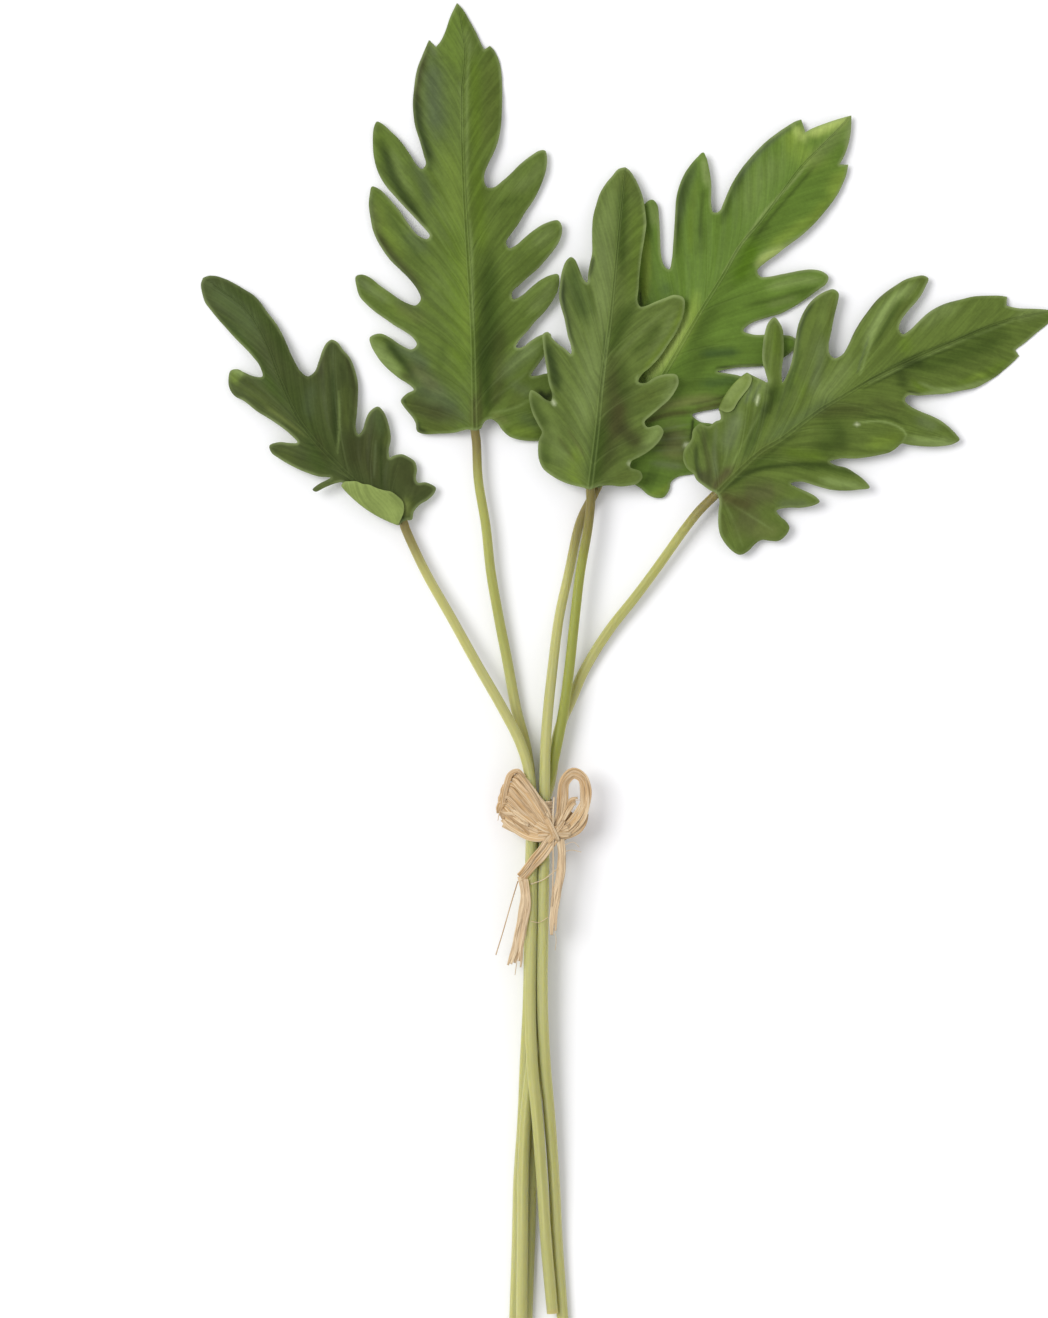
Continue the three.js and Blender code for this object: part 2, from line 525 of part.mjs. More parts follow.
function bladeMesh(leaf, height) {
  const frame = leaf.fold ? foldFrame(leaf.fold) : null;
  let outline = bladeOutline(leaf, frame);

  const midrib = smoothLine(leaf.midrib.map((p) => plan(p)), GRID_STEP);
  const lines = [midrib];
  for (const [ax, ay, bx, by] of leaf.veins) {
    lines.push(smoothLine([plan([ax, ay]), plan([bx, by])], GRID_STEP));
  }
  const foldRows = [];
  if (frame) {
    for (let k = 0; k <= FOLD_ROWS; k++) {
      const row = [];
      const across = (Math.PI * frame.radius * k) / FOLD_ROWS;
      for (let u = 0; u <= 1; u += EDGE_STEP / frame.length) row.push(frame.point(u, across));
      foldRows.push(row);
    }
  }

  let points;
  let triangles;
  for (let round = 0; round < MARGIN_ROUNDS; round++) {
    points = outline.map((p) => p.slice());
    const tryAdd = (x, y, fromEdge, fromPoints) => {
      if (!inside(outline, x, y) || edgeDistance(outline, x, y) < fromEdge) return;
      for (let i = outline.length; i < points.length; i++) {
        if (Math.hypot(points[i][0] - x, points[i][1] - y) < fromPoints) return;
      }
      points.push([x, y]);
    };
    for (const row of foldRows) for (const [x, y] of row) tryAdd(x, y, 0.4, 0.4);
    for (const line of lines) for (const [x, y] of line) tryAdd(x, y, GRID_STEP / 3, GRID_STEP / 2);
    const xs = outline.map((p) => p[0]);
    const ys = outline.map((p) => p[1]);
    // Rows start a little inside the box and lean slightly, so that no four points share a circle.
    let odd = 0;
    for (let y = Math.min(...ys) + 0.37; y < Math.max(...ys); y += ROW_STEP) {
      odd = 1 - odd;
      for (let x = Math.min(...xs) + 0.29 + (odd * GRID_STEP) / 2; x < Math.max(...xs); x += GRID_STEP) {
        tryAdd(x + 0.0011 * y, y, GRID_STEP * 0.4, GRID_STEP * 0.66);
      }
    }
    triangles = delaunay(points);
    const edges = new Set();
    for (const [a, b, c] of triangles) {
      for (const [p, q] of [[a, b], [b, c], [c, a]]) edges.add(`${p},${q}`).add(`${q},${p}`);
    }
    const next = [];
    for (let i = 0; i < outline.length; i++) {
      const j = (i + 1) % outline.length;
      next.push(outline[i]);
      if (!edges.has(`${i},${j}`)) {
        next.push([(outline[i][0] + outline[j][0]) / 2, (outline[i][1] + outline[j][1]) / 2]);
      }
    }
    if (next.length === outline.length) break;
    outline = next;
  }
  triangles = triangles.filter(([a, b, c]) => {
    const x = (points[a][0] + points[b][0] + points[c][0]) / 3;
    const y = (points[a][1] + points[b][1] + points[c][1]) / 3;
    return inside(outline, x, y);
  });

  const middle = points.map(([x, y]) => {
    if (frame) {
      const { u, s } = frame.place(x, y);
      if (s > 0 && u > -FOLD_BEFORE_START && u < 1 + FOLD_PAST_END) {
        const angle = Math.min(Math.PI, s / frame.radius);
        const back = Math.max(0, s - Math.PI * frame.radius);
        const [px, py] = frame.point(u, frame.radius * Math.sin(angle) - back);
        return [px, py, height(px, py) + frame.radius * (1 - Math.cos(angle))];
      }
    }
    return [x, y, height(x, y)];
  });
  return sheet(middle, triangles, outline.length, BLADE_THICKNESS);
}

// A closed thin sheet about a middle face. Its first `rim` points run round the margin.
function sheet(middle, triangles, rim, thickness) {
  const normals = middle.map(() => new THREE.Vector3());
  const a = new THREE.Vector3();
  const b = new THREE.Vector3();
  const cross = new THREE.Vector3();
  for (const [i, j, k] of triangles) {
    a.fromArray(middle[j]).sub(new THREE.Vector3(...middle[i]));
    b.fromArray(middle[k]).sub(new THREE.Vector3(...middle[i]));
    cross.crossVectors(a, b);
    for (const v of [i, j, k]) normals[v].add(cross);
  }
  const n = middle.length;
  const positions = [];
  for (const sign of [1, -1]) {
    middle.forEach((p, i) => {
      const normal = normals[i].clone().normalize();
      positions.push(...p.map((v, k) => v + (sign * thickness * normal.getComponent(k)) / 2));
    });
  }
  const index = [];
  for (const [i, j, k] of triangles) index.push(i, j, k, n + i, n + k, n + j);
  for (let i = 0; i < rim; i++) {
    const j = (i + 1) % rim;
    index.push(i, n + i, n + j, i, n + j, j);
  }
  return { positions, index };
}

// A round tube along a line of points [x, y, z, radius], with flat ends.
function tube(line, sides) {
  const positions = [];
  const index = [];
  const up = new THREE.Vector3(0, 0, 1);
  const count = line.length;
  for (let i = 0; i < count; i++) {
    const before = new THREE.Vector3(...line[Math.max(0, i - 1)].slice(0, 3));
    const after = new THREE.Vector3(...line[Math.min(count - 1, i + 1)].slice(0, 3));
    const ahead = after.sub(before).normalize();
    const side = new THREE.Vector3().crossVectors(ahead, up).normalize();
    const top = new THREE.Vector3().crossVectors(side, ahead).normalize();
    for (let k = 0; k < sides; k++) {
      const angle = (2 * Math.PI * (k + 0.5)) / sides;
      const c = Math.cos(angle) * line[i][3];
      const s = Math.sin(angle) * line[i][3];
      positions.push(
        line[i][0] + side.x * c + top.x * s,
        line[i][1] + side.y * c + top.y * s,
        line[i][2] + side.z * c + top.z * s,
      );
    }
  }
  for (let i = 0; i + 1 < count; i++) {
    for (let k = 0; k < sides; k++) {
      const a = i * sides + k;
      const b = i * sides + ((k + 1) % sides);
      index.push(a, a + sides, b, b, a + sides, b + sides);
    }
  }
  for (let k = 1; k + 1 < sides; k++) {
    index.push(0, k, k + 1);
    const last = (count - 1) * sides;
    index.push(last, last + k + 1, last + k);
  }
  return { positions, index };
}

// The stalk's upper end runs under the blade along its midrib and gets thinner there.
function ribLine(leaf, field) {
  const midrib = smoothLine(leaf.midrib.map((p) => plan(p)), 1);
  const result = [];
  let travelled = 0;
  let next = 0.5;
  for (let i = 0; i + 1 < midrib.length && next <= RIB_LENGTH; i++) {
    travelled += Math.hypot(midrib[i + 1][0] - midrib[i][0], midrib[i + 1][1] - midrib[i][1]);
    if (travelled < next) continue;
    const [x, y] = midrib[i + 1];
    const radius = STALK_RADIUS_TOP + ((RIB_RADIUS - STALK_RADIUS_TOP) * travelled) / RIB_LENGTH;
    result.unshift([x, y, field(x, y) - BLADE_THICKNESS / 2 - SEAT_GAP - radius, radius]);
    next = travelled + RIB_STEP;
  }
  return result;
}

function stalkMesh(name, leaf, field) {
  const rib = ribLine(leaf, field);
  const free = STALK_LINES[name].map((p) => [...plan(p), p[2]]);
  const line = smoothLine([...rib.map((p) => p.slice(0, 3)), ...free], STALK_STEP);
  const tieY = plan([0, (WRAP.from + WRAP.to) / 2])[1];
  const [startX, startY] = rib[rib.length - 1];
  const endY = line[line.length - 1][1];
  return tube(
    line.map(([x, y, z], i) => {
      if (i < rib.length) return [x, y, z, rib[i][3]];
      const upper = Math.min(1, (y - tieY) / (startY - tieY));
      const lower = (tieY - y) / (tieY - endY);
      const radius = y > tieY
        ? STALK_RADIUS_TIE + (STALK_RADIUS_TOP - STALK_RADIUS_TIE) * upper
        : STALK_RADIUS_TIE + (STALK_RADIUS_END - STALK_RADIUS_TIE) * Math.min(1, lower * 3);
      return [x, y, z, radius];
    }),
    STALK_SIDES,
  );
}

// A closed flat ribbon along a line.
function ribbonMesh({ line, width, lean }) {
  const points = smoothLine(line.map((p) => [...plan(p), p[2]]), RIBBON_STEP);
  const positions = [];
  const index = [];
  const count = points.length;
  for (let i = 0; i < count; i++) {
    const before = new THREE.Vector3(...points[Math.max(0, i - 1)]);
    const after = new THREE.Vector3(...points[Math.min(count - 1, i + 1)]);
    const ahead = after.sub(before).normalize();
    const flat = new THREE.Vector3().crossVectors(ahead, new THREE.Vector3(0, 0, 1)).normalize();
    const turn = ((lean[0] + ((lean[1] - lean[0]) * i) / (count - 1)) * Math.PI) / 180;
    const across = flat.clone().applyAxisAngle(ahead, turn);
    const face = new THREE.Vector3().crossVectors(across, ahead).normalize();
    for (const [c, s] of [[-1, -1], [1, -1], [1, 1], [-1, 1]]) {
      for (let k = 0; k < 3; k++) {
        const value = points[i][k] + (across.getComponent(k) * c * width) / 2;
        positions.push(value + (face.getComponent(k) * s * RIBBON_THICKNESS) / 2);
      }
    }
  }
  for (let i = 0; i + 1 < count; i++) {
    for (let k = 0; k < 4; k++) {
      const a = i * 4 + k;
      const b = i * 4 + ((k + 1) % 4);
      index.push(a, a + 4, b, b, a + 4, b + 4);
    }
  }
  const last = (count - 1) * 4;
  index.push(0, 1, 2, 0, 2, 3, last, last + 2, last + 1, last, last + 3, last + 2);
  return { positions, index };
}

// The band of raffia round the stalks: a rounded frame swept along Y.
function wrapMesh() {
  const corners = [[1, 1], [-1, 1], [-1, -1], [1, -1]];
  const ring = (grow) => {
    const result = [];
    const high = WRAP.top - WRAP.corner;
    const low = WRAP.bottom + WRAP.corner;
    const wide = WRAP.halfWidth - WRAP.corner;
    corners.forEach(([sx, sz], c) => {
      for (let k = 0; k <= WRAP_CORNER_STEPS; k++) {
        const angle = (Math.PI / 2) * (c + k / WRAP_CORNER_STEPS);
        const radius = WRAP.corner + grow;
        result.push([
          sx * wide + Math.cos(angle) * radius,
          (sz > 0 ? high : low) + Math.sin(angle) * radius,
        ]);
      }
    });
    return result;
  };
  const inner = ring(0);
  const outer = ring(WRAP_THICKNESS);
  const [middle, front] = plan([WRAP.x, WRAP.to]);
  const back = plan([WRAP.x, WRAP.from])[1];
  const n = inner.length;
  const positions = [];
  for (const y of [front, back]) {
    for (const loop of [outer, inner]) for (const [x, z] of loop) positions.push(middle + x, y, z);
  }
  const index = [];
  for (let i = 0; i < n; i++) {
    const j = (i + 1) % n;
    const quad = (a, b, c, d) => index.push(a, b, c, a, c, d);
    quad(i, j, n + j, n + i);
    quad(2 * n + i, 3 * n + i, 3 * n + j, 2 * n + j);
    quad(i, 2 * n + i, 2 * n + j, j);
    quad(n + i, n + j, 3 * n + j, 3 * n + i);
  }
  return { positions, index };
}

function knotMesh() {
  const ball = new THREE.SphereGeometry(0.5, 12, 8);
  const [x, y] = plan([KNOT.x, KNOT.y]);
  ball.rotateX(Math.PI / 2);
  ball.scale(...KNOT.size);
  ball.translate(x, y, KNOT.height);
  const attribute = ball.getAttribute("position");
  const positions = [];
  const index = [];
  const seen = new Map();
  const key = [];
  for (let i = 0; i < attribute.count; i++) {
    const p = [attribute.getX(i), attribute.getY(i), attribute.getZ(i)];
    const name = p.map((v) => v.toFixed(3)).join();
    if (!seen.has(name)) {
      seen.set(name, positions.length / 3);
      positions.push(...p);
    }
    key.push(seen.get(name));
  }
  const faces = ball.getIndex().array;
  for (let i = 0; i < faces.length; i += 3) {
    const [a, b, c] = [key[faces[i]], key[faces[i + 1]], key[faces[i + 2]]];
    if (a !== b && b !== c && c !== a) index.push(a, b, c);
  }
  return { positions, index };
}

const wasm = await Module();
wasm.setup();

function solid({ positions, index }) {
  const mesh = new wasm.Mesh({
    numProp: 3,
    vertProperties: new Float32Array(positions),
    triVerts: new Uint32Array(index),
  });
  mesh.merge();
  return new wasm.Manifold(mesh);
}

function tieMesh() {
  let tie = solid(wrapMesh()).add(solid(knotMesh()));
  for (const ribbon of RIBBONS) tie = tie.add(solid(ribbonMesh(ribbon)));
  const mesh = tie.getMesh();
  const positions = [];
  for (let i = 0; i < mesh.vertProperties.length; i += mesh.numProp) {
    positions.push(mesh.vertProperties[i], mesh.vertProperties[i + 1], mesh.vertProperties[i + 2]);
  }
  return { positions, index: Array.from(mesh.triVerts) };
}

const group = new THREE.Group();

function addPiece(name, { positions, index }, color, roughness) {
  const geometry = new THREE.BufferGeometry();
  geometry.setAttribute("position", new THREE.Float32BufferAttribute(positions, 3));
  geometry.setIndex(index);
  geometry.computeVertexNormals();
  const mesh = new THREE.Mesh(geometry, new THREE.MeshStandardMaterial({ color, roughness }));
  mesh.name = name;
  group.add(mesh);
}

LEAF_1.fold.side = 1;
LEAF_5.fold.side = -1;

// Leaves 3 and 5 lie on the leaves below them.
const field1 = heightField(LEAF_1, []);
const field2 = heightField(LEAF_2, []);
const field4 = heightField(LEAF_4, []);
const onLeaf2 = support(LEAF_2, field2);
const onLeaf4 = support(LEAF_4, field4);
const field3 = heightField(LEAF_3, [onLeaf2, onLeaf4]);
const field5 = heightField(LEAF_5, [onLeaf4]);
const leaves = [
  ["leaf_1", LEAF_1, field1, 0x4a5e2a],
  ["leaf_2", LEAF_2, field2, 0x566e32],
  ["leaf_3", LEAF_3, field3, 0x4f6630],
  ["leaf_4", LEAF_4, field4, 0x5f8a32],
  ["leaf_5", LEAF_5, field5, 0x52703a],
];
for (const [name, leaf, field, color] of leaves) {
  addPiece(`${name}_blade`, bladeMesh(leaf, field), color, 0.5);
  addPiece(`${name}_stalk`, stalkMesh(name, leaf, field), 0xb2b860, 0.5);
}
addPiece("raffia_tie", tieMesh(), 0xd2aa7a, 0.8);

// Centre of the bunch's plan on the origin, its lowest point on z = 0.
group.updateMatrixWorld(true);
const box = new THREE.Box3().setFromObject(group);
const shift = new THREE.Vector3(-(box.min.x + box.max.x) / 2, -(box.min.y + box.max.y) / 2, -box.min.z);
for (const mesh of group.children) mesh.geometry.translate(shift.x, shift.y, shift.z);

export default group;
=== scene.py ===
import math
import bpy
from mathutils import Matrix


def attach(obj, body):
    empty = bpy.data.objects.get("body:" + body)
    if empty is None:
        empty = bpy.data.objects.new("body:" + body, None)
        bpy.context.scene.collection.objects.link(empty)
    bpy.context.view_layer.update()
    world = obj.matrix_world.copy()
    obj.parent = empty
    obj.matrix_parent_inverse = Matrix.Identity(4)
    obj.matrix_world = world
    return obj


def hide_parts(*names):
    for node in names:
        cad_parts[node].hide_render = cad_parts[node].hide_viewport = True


bl_info = {
    "name": "Split Leaf Bunch",
    "version": (1, 0, 0),
    "blender": (4, 5, 0),
    "location": "View3D > Sidebar > Leaf Bunch",
    "description": "Dresses a tied bunch of split philodendron leaves with blades, stalks and a raffia bow",
    "category": "Add Mesh",
}

import bpy
import numpy as np
from mathutils import Vector, kdtree
from mathutils.geometry import delaunay_2d_cdt

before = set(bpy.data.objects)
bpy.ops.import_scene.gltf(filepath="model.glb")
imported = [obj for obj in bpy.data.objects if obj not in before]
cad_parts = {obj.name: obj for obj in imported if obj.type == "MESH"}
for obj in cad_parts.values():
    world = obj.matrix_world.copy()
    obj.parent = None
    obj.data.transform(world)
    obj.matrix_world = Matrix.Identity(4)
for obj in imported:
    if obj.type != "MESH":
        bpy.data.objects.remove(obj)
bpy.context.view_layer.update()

# Plan drawing: x to the right, y down, in drawing steps of STEP mm. Heights and sizes are in mm.
STEP = 560 / 1333
DRAWN_MIDDLE = (628, 669.5)
CENTRE_SHIFT = (0.03, 0.055)
MM = 0.001

# What the solids have, repeated here so that the finer skins lie where they are.
LAYER_GAP = 1.7
SUPPORT_MARGIN = 3
DROOP_PAST_EDGE = 0.5
RIDGE_ROUNDING = 1.6
VEIN_ROUNDING = 1.4
RIDGE_WIDTH = 12
OUTER_FALL = 0.035
PLEAT_AT_RIB = 0.6
GROUND_BLEND = 0.8
LAYER_BLEND = 0.6
LOWEST_MIDDLE = 0.4
STALK_RADIUS_TOP = 1.9
STALK_RADIUS_TIE = 2.3
STALK_RADIUS_END = 2.4
RIB_RADIUS = 0.9
RIB_LENGTH = 13
TIE_DRAWN_Y = 815

# A lobe vein leaves the midrib this far, in mm, before the place where a straight one would, and bends
# this part of the way out to its tip.
VEIN_LOW_ANGLE = 7
VEIN_BEND = 0.2
VEIN_POINTS = 9

# The outline that holds the leaves above, and the rolled part of a margin along its fold line.
SUPPORT_STEP = 4.6
FOLD_FROM = -0.02
FOLD_TO = 1.15

# The skin of a blade: rows of points to their distance, lines drawn round a rolled margin, strokes so
# thin that points follow them, waves and pleats in mm, and how much the lower face differs in tone.
ROW_STEP = 0.866
ROLL_LINES = 8
THIN_STROKE = 2
WAVE_COUNT = 7
WAVE_LENGTH = 26
PLEAT_PITCH = 6.5
UNDERSIDE = 0.8
STREAK_DEPTH = 0.11
FLOOR_GAP = 0.02

# Where the stalk's upper end has its points under the midrib, in mm from the blade's base, and how deep.
RIB_STOPS = (12.5, 8.5, 4.5, 0.5)
RIB_DEPTH = 0.35
CUT_END_TONE = (196, 178, 128)

# Raffia: points across a strip, its curl in mm, how much strands side by side overlap, and how far apart
# two strips lie in the fibre pattern.
RIBBON_POINTS = 9
RIBBON_CURL = 0.12
STRAND_OVERLAP = 1.5
FIBRE_SHIFT = 3.1
BAND_POINTS = 11
BAND_STRIP_WIDTH = 3.5
BAND_SLANTS = (0.9, -0.7, 0.5, -0.9)

# The stage, in metres, and the camera's sensor in mm.
FLOOR_HALF = 3.0
FLOOR_DROP = 0.0002
KEY_PLACE = (-0.8, 0.34, 1.25)
SKY_TONE = (0.98, 0.975, 1.0, 1)
SENSOR_WIDTH = 36

# Spacing of the nodes in a material's drawing.
NODE_COLUMN = 220
NODE_ROW = 180

# Outlines run from the tip down to the base. A third value of 1 marks a sharp corner.
# A vein is drawn from the midrib to the tip of its lobe.
# Midrib points carry their height above the surface.
LEAF_1 = {
    "left": [
        (203, 278), (201, 284), (202, 292), (205, 302), (210, 309), (218, 319), (227, 329), (237, 340),
        (247, 350), (254, 358), (260, 366), (263, 377), (255, 377), (245, 373), (238, 369.5), (231, 371),
        (229, 378), (229, 385), (231, 391), (236, 397), (244, 401), (258, 412), (268, 418), (280, 426),
        (290, 434), (298, 443), (290, 443.5), (280, 442.5), (270, 446), (272, 453), (280, 459),
        (290, 465), (300, 470), (310, 474), (320, 477), (331, 478), (326, 481), (320, 484), (313, 490),
        (316, 492), (325, 488), (335, 484), (343, 483),
    ],
    "flap": [
        (345, 482.4), (350, 482), (357, 482), (363, 484.5), (370, 485.5), (378, 489), (385, 491),
        (391, 492), (397, 496), (403, 502), (404, 512),
    ],
    "right": [
        (208, 276), (215, 276), (225, 279), (235, 284), (245, 290), (253, 295), (260, 302), (267, 312),
        (275, 322), (280, 330), (286, 342), (291, 354), (296, 364), (301, 372), (308, 377), (315, 372),
        (319, 362), (323, 350), (327, 343), (332, 340), (338, 343), (343, 350), (350, 358), (355, 370),
        (358, 383), (358, 400), (357, 415), (356, 428), (359, 435), (363, 430), (366, 420), (370, 412),
        (378, 407), (383, 411), (388, 422), (391, 438), (389, 450), (390, 458), (394, 456), (402, 454.5),
        (408, 457), (415, 462), (417, 470), (416, 478), (418, 483), (425, 482.5), (432, 485), (436, 488),
        (434, 494), (428, 500), (420, 505), (414, 512), (412, 520),
    ],
    "base": (405, 521),
    "midrib": [
        (403, 518, 8), (380, 502, 8.5), (343, 470, 9.5), (302, 424, 9.5), (282, 383, 8.5), (266, 342, 7),
        (247, 311, 5), (217, 287, 1.4),
    ],
    "veins": [
        (300, 422, 231, 378), (340, 468, 274, 449), (362, 486, 318, 489), (338, 464, 335, 345),
        (362, 486, 378, 412), (380, 502, 404, 458), (394, 511, 432, 488),
    ],
    "fall": (0.34, 0.3),
    "vein_fall": 0.16,
    "fold": {"start": (343, 483), "end": (401, 523), "bulge": 5, "radius": 1.3, "side": 1},
    "rib_edge": 0.06,
    "lobe_vein": 0.05,
}

LEAF_2 = {
    "left": [
        (457, 3, 1), (450, 18), (446, 30), (441, 41), (436, 47, 1), (429, 40, 1), (423, 54), (417, 70),
        (414, 90), (413, 105), (415, 125), (420, 142), (424, 156), (426, 165), (422, 170), (417, 166),
        (410, 155), (400, 141), (390, 131), (382, 124), (377, 122), (374, 128), (373, 145), (374, 157),
        (378, 172), (385, 185), (395, 197), (405, 208), (419, 223), (430, 237), (427, 240), (418, 236),
        (408, 224), (400, 212), (390, 200), (380, 190), (372, 187), (370, 195), (369, 205), (371, 220),
        (373, 230), (378, 242), (390, 260), (400, 270), (410, 280), (418, 291), (421, 300), (416, 306),
        (410, 305), (400, 300), (390, 293), (380, 286), (370, 278), (362, 275), (356, 277), (357, 288),
        (360, 297), (366, 304), (375, 312), (385, 319), (395, 326), (405, 332), (413, 338), (417, 345),
        (412, 350), (400, 345), (390, 338), (380, 334), (370, 338), (371, 345), (375, 353), (382, 363),
        (390, 371), (400, 379), (408, 384), (414, 390), (407, 394), (401, 401), (404, 407), (408, 412),
        (413, 418), (416, 424), (417, 431), (423, 434), (440, 434), (455, 433), (468, 430),
    ],
    "right": [
        (463, 10), (470, 22), (476, 33), (480, 42), (484, 50, 1), (490, 46, 1), (495, 52), (500, 65),
        (502, 85), (502, 105), (501, 125), (498, 142), (493, 155), (488, 165), (484, 178), (487, 188),
        (494, 188), (502, 182), (510, 175), (520, 165), (530, 157), (540, 151), (545, 151), (547, 158),
        (546, 170), (543, 180), (538, 192), (532, 203), (525, 213), (518, 225), (510, 236), (506, 243),
        (509, 249), (516, 246), (525, 238), (535, 230), (545, 224), (558, 221), (562, 228), (560, 240),
        (554, 250), (546, 260), (538, 269), (530, 276), (520, 285), (512, 293), (513, 300), (522, 296),
        (530, 289), (540, 281), (550, 276), (558, 275), (559, 285), (556, 295), (550, 305), (543, 314),
        (535, 322), (528, 331), (519, 341), (516, 348), (522, 348), (530, 342), (540, 336), (550, 334),
        (551, 344), (545, 355), (538, 365), (531, 376), (537, 376), (549, 374), (557, 384), (560, 400),
        (557, 416), (550, 431), (541, 440), (530, 441), (520, 440), (510, 437), (502, 430), (497, 423),
        (490, 419.5), (484, 423), (481, 429),
    ],
    "base": (475, 431),
    "midrib": [
        (475, 430, 8.5), (474, 380, 10), (473, 340, 10.5), (471, 300, 10.5), (467, 240, 10),
        (464, 190, 9), (462, 130, 8), (462, 90, 6.6), (465, 55, 4.6), (459, 10, 1.4),
    ],
    "veins": [
        (468, 232, 379, 128), (470, 285, 372, 194), (472, 345, 360, 282), (473, 385, 373, 342),
        (474, 418, 404, 403), (467, 245, 543, 155), (470, 300, 558, 226), (472, 350, 556, 280),
        (473, 392, 548, 340), (474, 422, 553, 405),
    ],
    "fall": (0.36, 0.34),
    "vein_fall": 0.16,
    "lobe_vein": 0.05,
}

LEAF_3 = {
    "left": [
        (625, 168), (618, 170), (612, 177), (606, 184), (600, 194), (596, 206), (593, 218), (592, 230),
        (592, 242), (592, 254), (590, 264), (588, 275), (587, 284), (583, 280), (579, 270), (575, 261),
        (571, 258), (566, 262), (562, 272), (560, 285), (559, 298), (561, 308), (564, 318), (566, 328),
        (568, 338), (571, 348), (571, 355), (565, 350), (558, 345), (552, 339), (548, 333), (543, 335),
        (543, 345), (545, 360), (547, 372), (549, 385), (552, 395), (551, 402), (545, 400), (539, 395),
        (531, 391), (529, 396), (530, 405), (533, 415), (538, 425), (542, 433), (539, 440), (538, 450),
        (539, 460), (543, 469), (550, 475), (560, 481), (570, 485), (582, 488),
    ],
    "right": [
        (629, 171), (634, 178), (639, 188), (643, 200), (645, 212), (646, 225), (644, 240), (641, 258),
        (639, 275), (638, 290), (637, 302), (640, 308), (646, 307), (655, 303), (665, 299), (674, 296),
        (683, 299), (684, 310), (681, 322), (676, 333), (668, 345), (660, 357), (650, 368), (641, 376),
        (638, 383), (645, 384), (655, 378), (667, 375), (676, 376), (678, 384), (674, 393), (668, 401),
        (660, 408), (651, 416), (644, 423), (647, 428), (653, 427), (658, 426), (663, 432), (660, 440),
        (655, 446), (648, 452), (640, 457), (631, 462), (630, 468), (635, 470), (640, 472), (642, 478),
        (637, 484), (630, 486), (620, 487), (610, 486), (598, 487),
    ],
    "base": (590, 490),
    "midrib": [
        (590, 487, 12.5), (597, 430, 14), (601, 390, 14.5), (606, 350, 14.5), (610, 320, 14),
        (617, 250, 12), (620, 220, 10), (625, 174, 6),
    ],
    "veins": [
        (606, 350, 571, 264), (600, 405, 547, 340), (595, 450, 533, 396), (591, 480, 545, 462),
        (607, 345, 680, 302), (600, 405, 673, 380), (595, 450, 659, 431), (591, 480, 638, 476),
    ],
    "fall": (0.36, 0.24),
    "vein_fall": 0.15,
}

LEAF_4 = {
    "left": [
        (851, 116, 1), (840, 119), (825, 124), (812, 129), (805, 133, 1), (801, 120, 1), (795, 122),
        (785, 128), (775, 135), (765, 143), (755, 153), (747, 162), (740, 171), (733, 182), (728, 192),
        (723, 204), (719, 212), (713, 213), (711, 205), (711, 185), (709, 170), (706, 158), (703, 153),
        (697, 158), (690, 166), (684, 175), (679, 187), (676, 200), (675, 215), (673, 245), (672, 258),
        (669, 270), (664, 266), (661, 255), (660, 240), (659, 220), (657, 205), (652, 200), (645, 204),
        (641, 215), (638, 235), (635, 255), (631, 285), (630, 308), (627, 314), (622, 308), (611, 298),
        (608, 306), (611, 325), (617, 352), (621, 374), (619, 386), (611, 384), (601, 383), (598, 392),
        (602, 412), (606, 432), (601, 440), (591, 443), (587, 456), (588, 470), (592, 482),
    ],
    "right": [
        (851, 123), (850, 135), (847, 148), (843, 158), (839, 165, 1), (848, 165, 1), (846, 175),
        (842, 185), (837, 195), (830, 205), (822, 215), (815, 223), (808, 230), (800, 237), (785, 248),
        (775, 256), (765, 263), (757, 271), (760, 277), (770, 277), (780, 275), (790, 273), (800, 271),
        (812, 270), (822, 272), (828, 277), (826, 284), (818, 290), (810, 296), (800, 303), (790, 309),
        (780, 314), (770, 317), (760, 320), (750, 324), (743, 331), (754, 335), (765, 335), (780, 335),
        (794, 338), (796, 346), (783, 358), (762, 366), (750, 367), (735, 368), (717, 372), (729, 374),
        (739, 376), (748, 380), (746, 388), (736, 398), (722, 407), (710, 410), (700, 412), (692, 415),
        (700, 422), (712, 424), (724, 430), (727, 442), (720, 456), (708, 468), (695, 474), (688, 475),
        (678, 477), (671, 482), (669, 490), (664, 497), (656, 498), (648, 495), (640, 488), (630, 483),
        (618, 481), (607, 483),
    ],
    "base": (598, 488),
    "midrib": [
        (598, 486, 5.8), (626, 438, 6), (664, 374, 6.5), (686, 336, 6.5), (702, 309, 6.5), (722, 277, 7),
        (740, 246, 7.5), (760, 222, 8), (780, 195, 8), (800, 168, 7.5), (825, 143, 6), (846, 121, 3.5),
    ],
    "veins": [
        (712, 288, 703, 160), (684, 331, 652, 207), (655, 372, 613, 304), (630, 420, 603, 390),
        (608, 466, 593, 450), (704, 300, 823, 277), (676, 342, 790, 341), (655, 372, 742, 382),
        (628, 425, 720, 440), (604, 474, 658, 493),
    ],
    "fall": (0.24, 0.26),
    "vein_fall": 0.12,
    "lobe_vein": 0.06,
    "streak": 0.06,
}

